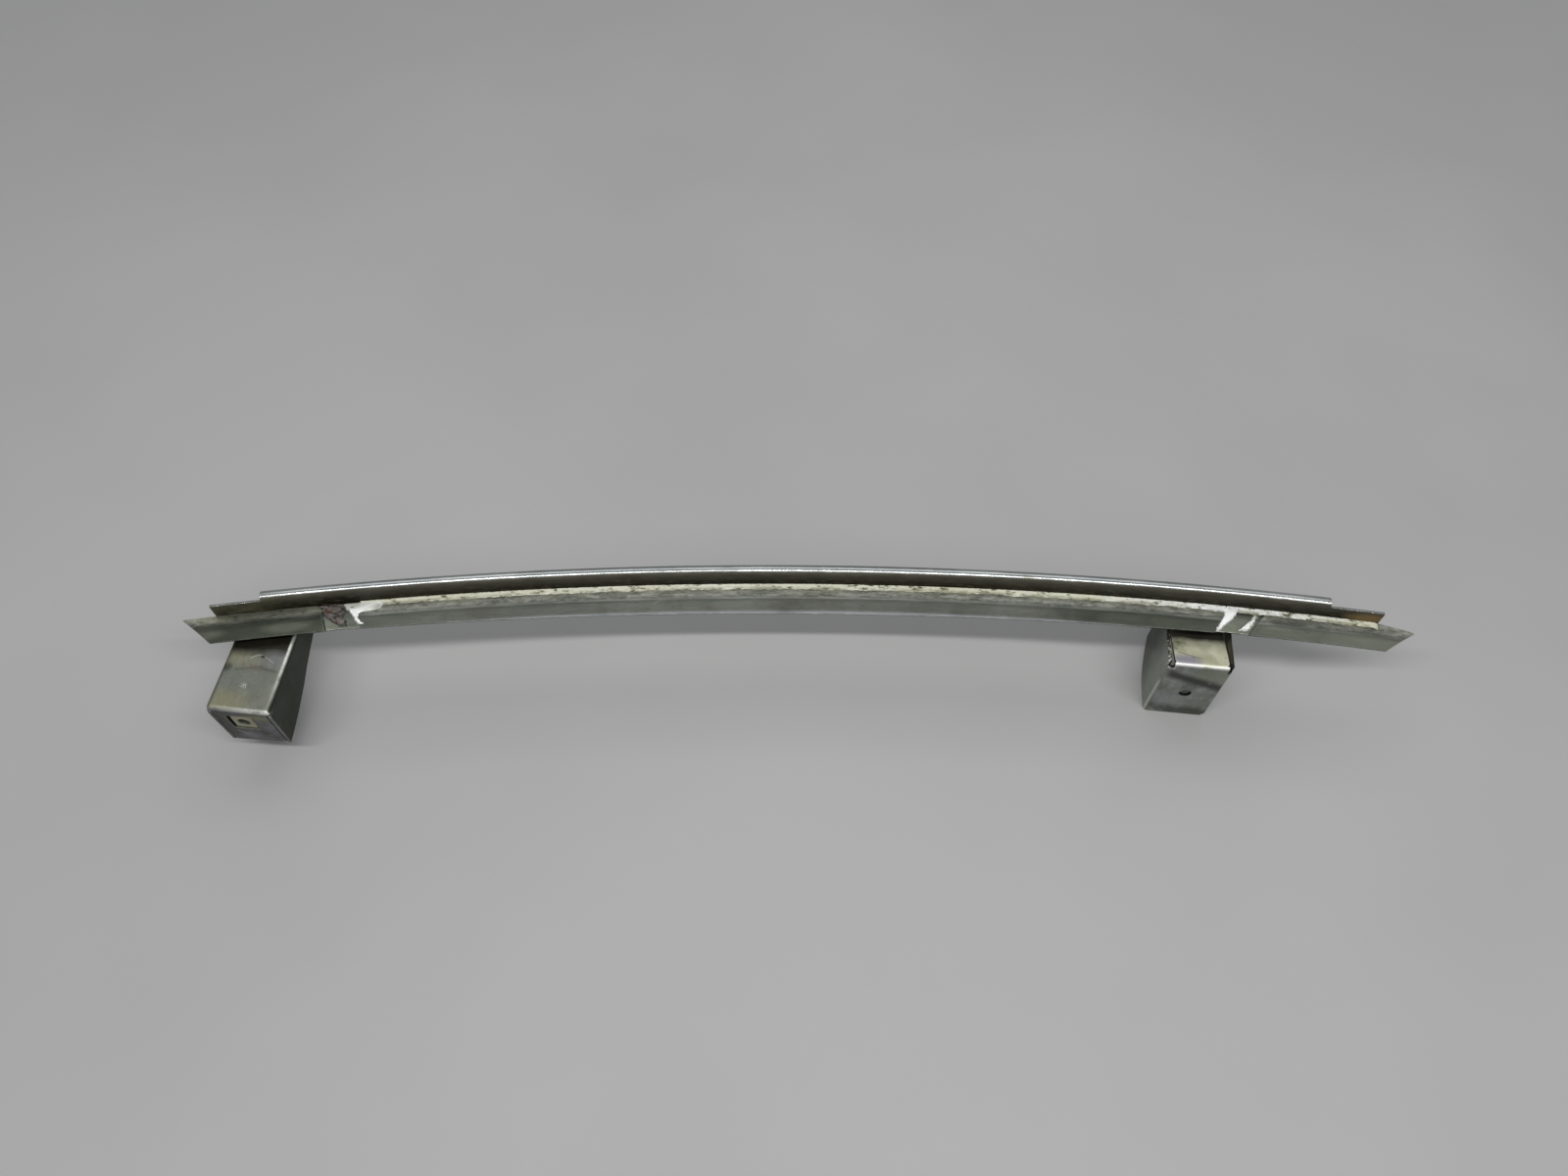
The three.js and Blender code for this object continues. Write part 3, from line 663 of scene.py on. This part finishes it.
def sealant_material(name, pale, shade, grime, amount, extra=None):
    n = Nodes(name)
    n.along_rail()
    n.colour = n.mix(n.cloud(0.35, 0.65, 130, 5, 0.65), shade, pale)
    if extra:
        extra(n)
    dirt = n.cloud(amount, amount + 0.1, 430, 5, 0.72, (0.5, 1, 1), (1, 5, 2))
    n.coat(grime, dirt)
    n.bsdf.inputs["Specular IOR Level"].default_value = 0.3
    height = n.fma(n.noise(1500, 4, 0.6), 0.4, n.noise(420, 4, 0.6))
    return n.finish(0.0, n.fma(n.noise(200, 3), 0.3, 0.55), height, 0.6, 0.0005)


def seam_tint(n):
    """The seam is white near the bare gap on the right, yellower and dirtier along the rest."""
    s = n.rail()
    aged = n.step(n.abs(n.fma(n.x, 1.0, -190.0)), 8.0, 60.0)
    tint = n.mix(n.cloud(0.35, 0.65, 50, 4, 0.6, (0.4, 1, 1)), (0.56, 0.56, 0.4),
        (0.76, 0.76, 0.64))
    n.coat(tint, aged, 0.85)
    low = n.cloud(0.4, 0.56, 330, 5, 0.7, (0.4, 1, 1))
    n.coat((0.16, 0.16, 0.085), n.step(s, -1.1, -2.2), low, 0.7)


def run_tint(n):
    """The left run is whitest where it wraps the strip's corner and grey towards the torn patch."""
    s = n.rail()
    grey = n.any(n.blob(n.x, s, -193.5, -1.6, 4.6, 2.2), n.blob(n.x, s, -181.0, -3.8, 3.0, 1.6))
    n.coat((0.3, 0.31, 0.26), grey, 0.7)


def torn_tint(n):
    s = n.rail()
    speck = n.cloud(0.42, 0.62, 620, 5, 0.7)
    n.coat((0.2, 0.185, 0.165), speck, 0.6)
    pink = n.blob(n.x, s, -203.8, -1.6, 2.6, 1.5)
    n.coat((0.19, 0.14, 0.14), pink, 0.4)
    rust = n.blob(n.x, s, -202.8, -4.2, 1.5, 0.8)
    n.coat((0.11, 0.03, 0.015), rust, 0.8)
    crack = n.strokes(n.x, s, ((-202.5, -4.4), (-198.0, -6.4), 0.35),
        ((-200.5, -6.8), (-197.0, -7.6), 0.3))
    n.coat((0.02, 0.016, 0.012), crack)


STRIP_MAT = strip_material()
CHANNEL_MAT = channel_material()
LEFT_MAT = left_bracket_material()
RIGHT_MAT = right_bracket_material()
NUT_MAT = nut_material()
CAGE_MAT = plain_zinc("cage_steel", (0.06, 0.062, 0.05), (0.12, 0.125, 0.1), (0.1, 0.08, 0.05), 0.3)
WHITE = (0.82, 0.83, 0.82)
SEAM_MAT = sealant_material("sealant_seam", WHITE, (0.62, 0.62, 0.55), (0.1, 0.095, 0.045), 0.53,
    seam_tint)
SEALANT_MAT = sealant_material("sealant", WHITE, (0.58, 0.58, 0.53), (0.13, 0.12, 0.07), 0.62)
PATCHY_MAT = sealant_material("sealant_patchy", WHITE, (0.5, 0.5, 0.42), (0.13, 0.13, 0.06), 0.5)
RUN_MAT = sealant_material("sealant_run", WHITE, (0.58, 0.58, 0.52), (0.12, 0.12, 0.07), 0.6,
    run_tint)
RUSTY_MAT = sealant_material("rusty_sealant", (0.13, 0.113, 0.1), (0.06, 0.05, 0.043),
    (0.016, 0.012, 0.01), 0.5, torn_tint)


# ---- rail

LINE_S = [-GAP - d for d in (0, 0.2, 0.5, 0.9, 1.4, 2.0, 2.7, 3.5, 4.4, 5.4)]
LINE_S += [-6.1, -6.5, CREASE, -7.3, -7.7, -8.6, -9.6, -10.6, -11.4, -12.0, LIP]


def strip_end(top, lip, r, side):
    """A slanted end with a rounded upper corner, as x over s."""

    def x_of(s):
        x = lerp(top, lip, clamp((-GAP - s) / (-GAP - LIP)))
        inside = max(0.0, r - (-GAP - s))
        return x - side * (r - math.sqrt(max(0.0, r * r - inside * inside)))

    return x_of


def cover_strip(name, node, x0, x1, columns):
    surface = Surface()
    rows = []
    for k in range(columns + 1):
        row = []
        for s in LINE_S:
            x = lerp(x0(s), x1(s), k / columns)
            wave = 0.06 * wobble(x, s, scale=0.03, seed=3) + 0.03 * wobble(x, s, scale=0.12, seed=7)
            row.append(rail_point(x, s, seat_z(s) - 0.56 * STRIP_T + wave))
        rows.append(row)
    surface.grid(rows)
    piece(name, surface, "bar", STRIP_MAT, node, sheet=0.92, bevel=0.15)


def right_tip(s):
    return at([(LIP, TIP_LIP), (-2.7, TIP), (-GAP, TIP_LIP - 0.6)], s)


MIDDLE_LEFT = strip_end(-192.4, -188.6, 3.2, -1)
MIDDLE_RIGHT = strip_end(186.6, 180.2, 3.8, 1)
cover_strip("strip_left", "cover_strip_left", strip_end(-TIP, -TIP_LIP, 0, -1),
    strip_end(-206.8, -203.5, 2.2, 1), 30)
cover_strip("strip_middle", "cover_strip_middle", MIDDLE_LEFT, MIDDLE_RIGHT, 190)
cover_strip("strip_right", "cover_strip_right", strip_end(204.2, 194.4, 1.2, -1), right_tip, 34)


def channel():
    """Leg under the strips, web and curled edge; at both ends only leg and web go on."""
    mid = CHANNEL_T / 2
    top = SEAT - STRIP_T - GAP - mid
    bend_s = CREASE + 0.25
    profile = line((-11.3, top - (bend_s + 11.3) * TILT), (bend_s, top), 5)[:-1]
    curl_r, curl_z = 2.1, 41.1
    profile += line((bend_s, top), (-mid, top), 4)
    profile += arc(-mid, top + 2 * mid, 2 * mid, -90, 0, 7)[1:]
    profile += line((mid, top + 2 * mid), (mid, curl_z), 7)[1:]
    profile += arc(mid + curl_r, curl_z, curl_r, 180, -82, 32)[1:]
    trim = 1 + max(i for i, (s, z) in enumerate(profile) if z <= curl_z + 0.6 and s < 0.75)
    (left, right), (end0, end1) = CURL_ENDS, WEB_ENDS
    xs = [lerp(end0, left, k / 6) for k in range(7)]
    xs += [lerp(left, right, k / 230) for k in range(1, 231)]
    xs += [lerp(right, end1, k / 6) for k in range(1, 7)]
    rows = []
    for x in xs:
        row = []
        for s, z in profile:
            fade = min(1.0, (x - end0) / 3.0, (end1 - x) / 3.0)
            dent = fade * clamp((40.0 - z) / 3) * 0.06 * wobble(x, s, z, 0.05, 11)
            row.append(rail_point(x * (1 + s / RADIUS), s + dent, z + dent * 0.5))
        rows.append(row)
    surface = Surface()
    surface.grid(rows, lambda i, j: j < trim or left - 0.01 <= xs[i] < right - 0.01)
    piece("channel", surface, "bar", CHANNEL_MAT, "rail_channel",
        sheet=CHANNEL_T, bevel=0.14)


channel()


# ---- brackets


def hook(surface, b, us, first, z):
    """Joins the row of points first to a flange that turns up behind the web, parallel to it."""
    rows, r = [first], BEHIND - UNDER
    for ds, dz in arc(-r, r, r, -90, 0, 6)[1:]:
        rows.append([b.point(u, b.reach(u, BEHIND + ds), z + dz) for u in us])
    low = z + r
    steps = max(3, round((HOOK_TOP - low) / 3))
    for k in range(1, steps + 1):
        rows.append([b.point(u, b.reach(u, BEHIND), lerp(low, HOOK_TOP, k / steps)) for u in us])
    surface.grid(rows)


def dented(u, v):
    """Depth of the knocks in the left bracket's front."""
    knock = 0.32 * math.exp(-(((u - 15.4) / 7.0) ** 2) - ((v - 26.0) / 4.6) ** 2)
    pit = 0.35 * math.exp(-(((u - 15.4) / 0.9) ** 2) - ((v - 26.2) / 0.6) ** 2)
    return knock + pit + 0.05 * wobble(u, v, scale=0.16, seed=2)


def bracket_left():
    b, h, r = LEFT, SHEET_MID, 1.4
    w, top = b.w, FACE - SHEET_MID
    start, win, (cu, cz) = 2.9, WINDOW_HALF, WINDOW
    left_bend = arc(h + r, top - r, r, 180, 90, 6)
    right_bend = arc(w - h - r, top - r, r, 90, 0, 6)
    marks = [left_bend[-1][0], 4.0, cu - win, 8.0, 10.0, cu, 13.6, 15.6, cu + win, 19.3, 21.4,
        23.2, right_bend[0][0]]
    flat = [(u, top) for u in marks]
    across = left_bend[:-1] + flat + right_bend[1:]
    wall = [0.0, 0.12, 0.28, 0.46, 0.64, 0.82]
    surface = Surface()

    n = 34
    rows = []
    for k in range(n + 1):
        row = []
        for u, side in ((h, 0), (w - h, 1)):
            v = lerp(start, b.reach(u, UNDER), k / n)
            column = [b.point(u, v, lerp(b.low(v), top - r, j)) for j in wall]
            row += column if side == 0 else column[::-1]
            if side == 0:
                for a, z in across:
                    va = lerp(start, b.reach(a, UNDER), k / n)
                    sink = dented(a, va) if 0 < k < n and z > top - 0.2 else 0.0
                    row.append(b.point(a, va, z - sink))
        rows.append(row)
    surface.grid(rows)
    for u in (h, w - h):
        # each wall goes on behind the web, and forwards beside the flap
        ends = [(b.reach(u, UNDER), wall + [1.0]), (b.reach(u, 3.0), wall + [1.0])]
        surface.grid([[b.point(u, v, lerp(b.low(v), top - r, j)) for j in js] for v, js in ends])
        joint = [b.point(u, start, lerp(b.low(start), top - r, j)) for j in wall + [1.0]]
        below = [0.0, 0.15, 0.3, 0.48, 0.66, 0.83, 1.0]
        forward = [[b.point(u, v, lerp(max(0.05, b.low(v)), 25.2, j)) for j in below]
                   for v in (0.05, 0.6, 1.4, 2.1)]
        surface.grid(forward + [joint])
    us = [u for u, z in flat if 4.0 < u < w - 2.6]
    hook(surface, b, us, [b.point(u, b.reach(u, UNDER), top) for u in us], top)
    # fold over the foot and the end flap with the nut's window
    rows = [[b.point(u, start, z) for u, z in across]]
    for v, dz in arc(h + r, 0, r, 90, 180, 7):
        rows.append([b.point(u, v, z - r + dz) for u, z in across])
    surface.grid(rows)
    zs = [top - r, 24.4, cz + win, 20, 18, cz, 15, 13, cz - win, 9, 6.5, 4, 1.8, 0.1]

    def flap(u, z):
        return b.point(u, h + 0.12 * wobble(u, z, scale=0.12, seed=9) * clamp((top - r - z) / 4), z)

    def solid(i, j):
        in_z = zs[i] <= cz + win and zs[i + 1] >= cz - win
        return not (in_z and marks[j] >= cu - win and marks[j + 1] <= cu + win)

    surface.grid([[flap(u, z) for u in marks] for z in zs], solid)
    for k, p in enumerate(surface.verts):
        # the foot is a little twisted: its lower left corner stands out and down
        u, v = b.local(p)
        side = clamp(1 - u / w)
        out = 1.0 * side * side * clamp(1 - v / 28) * clamp(p.z / 20)
        down = 1.8 * side * clamp(1 - v / 6) * clamp(1 - p.z / 28)
        surface.verts[k] = b.point(u - out, v, p.z - down)
    piece("bracket_box", surface, "bar", LEFT_MAT, "bracket_left",
        sheet=1.45, bevel=0.25)


def hole_cell(surface, place, us, zs, cu, cz, r):
    """Fills the square of grid lines us by zs with rings that end in a round hole."""
    border = [(u, zs[0]) for u in us] + [(us[-1], z) for z in zs[1:]]
    border += [(u, zs[-1]) for u in us[-2::-1]] + [(us[0], z) for z in zs[-2:0:-1]]
    rings = []
    for t in (0.0, 0.4, 0.75, 0.92, 1.0):
        ring = []
        for u, z in border:
            a = math.atan2(z - cz, u - cu)
            ring.append(place(lerp(u, cu + r * math.cos(a), t), lerp(z, cz + r * math.sin(a), t)))
        rings.append(ring)
    surface.grid(rings, close=True)


def bracket_right():
    """Foot with both walls folded back off its sides, and a plate folded back off its top."""
    b, h, r = RIGHT, SHEET_MID, 1.1
    w, base = b.w, FACE - 44
    (cu, cz), (p0, p1), fold_z, sink = HOLE, PLATE_U, PLATE_Z, PLATE_SINK
    bend_z, relief_z = 25.4, 25.7  # the plate's fold starts and the walls' relief cuts end here
    surface = Surface()
    hole_u = [cu - 5 + 1.25 * k for k in range(9)]
    hole_z = [cz + 5 - 1.25 * k for k in range(9)]
    marks = [r + h, p0, 4.6, 6.4] + hole_u + [20.6, 22.6, 24.4, p1, w - r - h]
    zs = [fold_z, 22, 20, 17, 14, 11.4] + hole_z + [-3.6, -6.6, -9.6, -12.4, -14.2, base]

    def place(u, z):
        fade = clamp((z - base) / 5) * clamp(min(u - 2, 25 - u) / 4)
        return b.point(u, h + 0.14 * wobble(u, z, scale=0.1, seed=4) * fade, z)

    rows = [[place(u, z) for u in marks] for z in zs]

    def solid(i, j):
        """Leaves out the square around the hole, and the clipped lower right corner."""
        in_z = zs[i] <= cz + 5 and zs[i + 1] >= cz - 5
        at_hole = in_z and marks[j] >= cu - 5 and marks[j + 1] <= cu + 5
        return not at_hole and not (i == len(zs) - 2 and marks[j] >= p1 - 0.1)

    surface.grid(rows, solid)
    hole_cell(surface, place, hole_u, hole_z, cu, cz, HOLE_R)

    # walls: a bend off the flap's side, then straight back to the rail
    for side in (0, 1):
        if side == 0:
            corner, wall_u = arc(h + r, h + r, r, 270, 180, 6), h
            levels, rim = zs, [p0, r + h]
        else:
            corner, wall_u = arc(w - h - r, h + r, r, -90, 0, 6), w - h
            levels, rim = zs[:-1], [p1, w - r - h]
        cut_z = levels[-1]
        columns = []
        for k, (u, v) in enumerate(corner):
            columns.append([b.point(u, v, z) for z in [relief_z if k < 5 else FACE] + levels])
        surface.grid(columns[:5])
        surface.grid([c[1:] for c in columns[4:]])
        surface.grid([c[:2] for c in columns[5:]])
        surface.grid([[place(u, z) for u in rim] for z in (relief_z, fold_z)])
        tall = [(FACE - z) / (FACE - cut_z) for z in [FACE] + levels]
        end = b.reach(wall_u, 3.0)
        rows = []
        for v in [h + r, 3.0, 4.4, 6.5, 9, 12, 15, 18, 21, 24, 27, end]:
            fade = clamp((v - 4) / 6) * clamp((end - v) / 6)
            knock = 0.2 * wobble(v, side * 9, scale=0.14, seed=8) * fade
            rows.append([b.point(wall_u + knock * (1 - j), v, lerp(FACE, max(cut_z, b.low(v)), j))
                         for j in tall])
        surface.grid(rows)
    # plate: fold off the flap's top, then back under the strips, sinking towards the rail
    cols = [u for u in marks if p0 <= u <= p1]
    lean = 90 - math.degrees(math.atan(sink))
    fold = [(h, bend_z)] + arc(h + r, FACE - h - r, r, 180, lean, 8)
    rows = [[place(u, fold_z) for u in cols]]
    rows += [[b.point(u, v, z) for u in cols] for v, z in fold]
    v0, z0 = fold[-1]
    for t in [0.04, 0.09, 0.15, 0.22, 0.3, 0.38, 0.46, 0.55, 0.64, 0.73, 0.82, 0.9, 1.0]:
        row = []
        for u in cols:
            v = lerp(v0, b.reach(u, UNDER), t)
            dent = 0.22 * wobble(u, v, scale=0.11, seed=6) + 0.1 * wobble(u, v, scale=0.3, seed=2)
            dent *= clamp(t * 5) * clamp((1 - t) * 5)
            row.append(b.point(u, v, z0 - sink * (v - v0) + dent))
        rows.append(row)
    surface.grid(rows)
    us = [u for u in cols if 7.0 < u < w - 1.5]
    first = [b.point(u, b.reach(u, UNDER), z0 - sink * (b.reach(u, UNDER) - v0)) for u in us]
    hook(surface, b, us, first, z0 - sink * (b.reach(cu, UNDER) - v0))
    piece("bracket_foot", surface, "bar", RIGHT_MAT, "bracket_right",
        sheet=1.45, bevel=0.22)


bracket_left()
bracket_right()


# ---- captive nut


def floating_nut():
    """Square boss on a square plate with a threaded bore, as one closed skin around the hole."""
    b, sides = LEFT, 96
    (bore_u, bore_z), minor, pitch = BORE, 2.1, 0.8

    def square(cu, cz, half, v, p):
        ring = []
        for k in range(sides):
            a = 2 * math.pi * k / sides
            c, s = math.cos(a), math.sin(a)
            q = half / (abs(c) ** p + abs(s) ** p) ** (1 / p)
            u, z = q * c, q * s
            ring.append(b.point(cu + u, v + 0.03 * wobble(u, z, scale=0.5, seed=1), cz + z))
        return ring

    def circle(radius, v, thread=0.0):
        ring = []
        for k in range(sides):
            a = 2 * math.pi * k / sides
            turn = (v / pitch + k / sides) % 1.0
            q = radius + thread * (1 - abs(2 * turn - 1))
            ring.append(b.point(bore_u + q * math.cos(a), v, bore_z + q * math.sin(a)))
        return ring

    rings = [circle(2.62, 0.34), circle(3.2, 0.31)]
    # boss, then plate: how far each ring stays inside the outline, and its v
    for d, v, p in ((0.9, 0.3, 9), (0.35, 0.32, 12), (0.1, 0.42, 12), (0, 0.68, 12), (0, 1.8, 12)):
        rings.append(square(11.72, 16.35, 4.72 - d, v, p))
    for d, v in ((0.3, 1.85), (0.08, 1.9), (0, 2.05), (0, 4.15), (0.08, 4.3), (0.35, 4.38)):
        rings.append(square(*WINDOW, 6.45 - d, v, 14))
    rings += [circle(3.2, 4.4), circle(2.62, 4.36)]
    depth = [lerp(4.1, 0.6, k / 42) for k in range(43)]
    rings += [circle(minor, v, 0.38) for v in depth]
    rings.append(rings[0])
    surface = Surface()
    surface.grid(rings, close=True)
    piece("nut", surface, "floating_nut", NUT_MAT, "floating_nut")


floating_nut()
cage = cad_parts["nut_cage"]
cage.data.materials.clear()
cage.data.materials.append(CAGE_MAT)


# ---- sealant


def skin(name, node, material, tops, bottoms):
    """A closed pad between two grids of the same size."""
    surface = Surface()
    surface.grid(tops)
    surface.grid([row[::-1] for row in bottoms])
    surface.grid([tops[0], bottoms[0]])
    surface.grid([bottoms[-1], tops[-1]])
    surface.grid([[row[0] for row in bottoms], [row[0] for row in tops]])
    surface.grid([[row[-1] for row in tops], [row[-1] for row in bottoms]])
    piece(name, surface, "bar", material, node)


def pad(name, node, material, left, right, s0, s1, top, floor_z, lumps, ragged, rows, cols,
        seed):
    """A dried pad between ragged edges, given as (s, x) stops; it thins towards its outline."""

    def edge(stops, s, side, coarse, fine):
        a = wobble(s, 9 * side, scale=coarse, seed=seed + 1 + side)
        b = wobble(s, 9 * side, scale=fine, seed=seed + 5 + side)
        return at(stops, s) + ragged * (a + 0.4 * b)

    tops, bottoms = [], []
    for i in range(rows + 1):
        s = lerp(s0, s1, i / rows)
        a, z = edge(left, s, 0, 1.1, 3.7), edge(right, s, 1, 1.2, 3.9)
        up, down = [], []
        for j in range(cols + 1):
            t = j / cols
            x = lerp(a, z, t)
            sides = min(t, 1 - t) * (z - a) / 0.5
            ends = min(i, rows - i) * abs(s1 - s0) / rows / 0.5
            full = clamp(min(sides, ends)) ** 0.6
            fine = wobble(x, s, scale=2.6, seed=seed + 4)
            bump = lumps * (wobble(x, s, scale=0.9, seed=seed + 3) + 0.5 * fine)
            low = floor_z(x, s)
            high = low + (seat_z(s) + top - low) * full + bump * full
            up.append(rail_point(x, s, max(low + 0.06, high)))
            down.append(rail_point(x, s, low - 0.02))
        tops.append(up)
        bottoms.append(down)
    skin(name, node, material, tops, bottoms)


def on_leg(x, s):
    return seat_z(s) - STRIP_T - GAP


def on_leg_or_middle(x, s):
    """The strip's face where x is on the middle strip, the leg's in the gap beside it."""
    inside = x - MIDDLE_LEFT(s) if x < 0 else MIDDLE_RIGHT(s) - x
    over = clamp(inside / 0.35 + 0.5)
    return seat_z(s) - (STRIP_T + GAP) * (1 - over)


pad("torn_patch", "sealant_left_torn", RUSTY_MAT,
    [(-10.6, -197.4), (-9.2, -199.8), (-7.9, -201.8), (-5.8, -204.5), (-3.6, -205.7),
    (-1.5, -206.1), (-0.4, -204.0)],
    [(-10.6, -195.4), (-8.8, -195.2), (-7.3, -196.6), (-5.2, -196.4), (-3.2, -196.4),
    (-1.7, -197.0), (-0.4, -199.4)],
    -10.6, -0.4, 0.55, on_leg, 0.75, 0.9, 44, 34, 3.0)
pad("white_run", "sealant_left_run", RUN_MAT,
    [(-10.7, -189.3), (-10.3, -189.8), (-9.2, -190.8), (-7.6, -191.8), (-6.1, -192.9),
    (-3.9, -194.6), (-2.6, -196.4), (-0.4, -197.2)],
    [(-10.7, -187.6), (-10.3, -187.4), (-9.8, -188.8), (-7.5, -189.9), (-6.3, -189.9),
    (-5.5, -188.4), (-5.1, -183.5), (-4.6, -180.6), (-2.4, -179.9), (-0.4, -181.5)],
    -10.7, -0.4, 0.22, on_leg_or_middle, 0.22, 0.6, 60, 40, 5.0)
pad("white_patch_inner", "sealant_right_inner", SEALANT_MAT,
    [(-11.4, 180.6), (-10.8, 180.9), (-8.2, 182.5), (-5.0, 184.5), (-3.0, 184.9), (-1.7, 184.5),
    (-0.9, 183.0), (-0.4, 180.0)],
    [(-11.4, 181.6), (-10.8, 182.7), (-9.3, 184.3), (-6.2, 188.2), (-3.9, 190.0), (-2.2, 191.1),
    (-0.4, 191.9)],
    -11.4, -0.4, 0.26, on_leg_or_middle, 0.2, 0.5, 50, 26, 7.0)
pad("white_patch_outer", "sealant_right_outer", PATCHY_MAT,
    [(-10.4, 190.4), (-9.4, 191.6), (-7.8, 193.5), (-5.7, 195.9), (-3.5, 197.3), (-1.8, 197.8),
    (-0.4, 197.0)],
    [(-10.4, 194.0), (-9.0, 195.8), (-7.6, 196.8), (-5.6, 197.8), (-3.7, 199.0), (-2.4, 200.6),
    (-0.4, 203.4)],
    -10.4, -0.4, 0.2, on_leg, 0.45, 0.8, 50, 22, 9.0)


def seam(name, node, x0, x1, steps, lump=None):
    """A thin, broken bead in the corner between the strips and the web."""
    tops, bottoms = [], []
    for i in range(steps + 1):
        x = lerp(x0, x1, i / steps)
        more = lump(x) if lump else 0.0
        width = 2.65 + more
        for size, scale, seed in ((0.6, 0.09, 1), (0.5, 0.45, 2), (0.25, 1.6, 3)):
            width += size * wobble(x, 0, scale=scale, seed=seed)
        width = max(0.5, width)
        up, down = [], []
        for j in range(9):
            t = j / 8
            s = -0.18 - width * t
            fill = (1 - t) ** 1.4
            bump = 0.16 * wobble(x, s, scale=0.8, seed=4) + 0.1 * wobble(x, s, scale=2.4, seed=5)
            high = 0.03 + 0.28 * fill + bump * (0.4 + 0.6 * fill) + 0.35 * more * fill
            up.append(rail_point(x, s, SEAT + max(0.03, high)))
            down.append(rail_point(x, s, SEAT - 0.04))
        tops.append(up)
        bottoms.append(down)
    skin(name, node, SEAM_MAT, tops, bottoms)


seam("seam_middle", "sealant_seam_middle", -190.0, 186.0, 620)
seam("seam_right", "sealant_seam_right", 186.4, 249.6, 150,
    lambda x: 0.9 * clamp((x - 247.2) / 0.8))


# ---- floor, light and camera


def floor():
    n = Nodes("floor_paint")
    n.colour = n.mix(n.cloud(0.4, 0.6, 3, 3), (0.33, 0.33, 0.325), (0.352, 0.352, 0.347))
    mesh = bpy.data.meshes.new("floor")
    e, z = 4.0, -0.0004
    mesh.from_pydata([(-e, -e, z), (e, -e, z), (e, e, z), (-e, e, z)], [], [(0, 1, 2, 3)])
    obj = bpy.data.objects.new("floor", mesh)
    rough, height = n.fma(n.noise(40, 2), 0.1, 0.65), n.noise(300, 3)
    mesh.materials.append(n.finish(0.0, rough, height, 0.05, 0.0003))
    SCENE.collection.objects.link(obj)


def softbox(name, angle, distance, size, watts, x=0.0):
    """An area light in the plane across the rail; angle is measured from +Y upwards."""
    data = bpy.data.lights.new(name, "AREA")
    data.shape = "RECTANGLE"
    data.size, data.size_y = size
    data.energy = watts
    target = Vector((0, 0.02, 0.04))
    a = math.radians(angle)
    obj = bpy.data.objects.new(name, data)
    obj.location = target + Vector((x, distance * math.cos(a), distance * math.sin(a)))
    obj.rotation_euler = (target - obj.location).to_track_quat("-Z", "Y").to_euler()
    SCENE.collection.objects.link(obj)


def camera():
    """Square to the rail and 58 degrees up."""
    data = bpy.data.cameras.new("camera")
    data.lens, data.sensor_width = 27.6, 36.0
    data.clip_start, data.clip_end = 0.01, 20
    back = -Vector((-0.0022, 0.5258, -0.8506)).normalized()
    right = Vector((1.0, 0.0067, 0.0015))
    right = (right - back * right.dot(back)).normalized()
    up = back.cross(right)
    obj = bpy.data.objects.new("camera", data)
    turn = Matrix((right, up, back)).transposed().to_4x4()
    obj.matrix_world = Matrix.Translation((-0.0047, -0.2512, 0.4988)) @ turn
    SCENE.collection.objects.link(obj)
    SCENE.camera = obj


floor()
camera()
softbox("overhead", 60, 1.3, (1.6, 0.7), 4.6)
softbox("key", 110, 1.2, (1.5, 0.05), 11.0)
softbox("front", 128, 1.3, (0.7, 0.3), 2.0, 0.15)
world = bpy.data.worlds.new("studio")
SCENE.world = world
world.use_nodes = True
fill(world.node_tree.nodes["Background"], Color=(0.86, 0.88, 0.9, 1), Strength=0.34)
SCENE.view_settings.view_transform = "Standard"
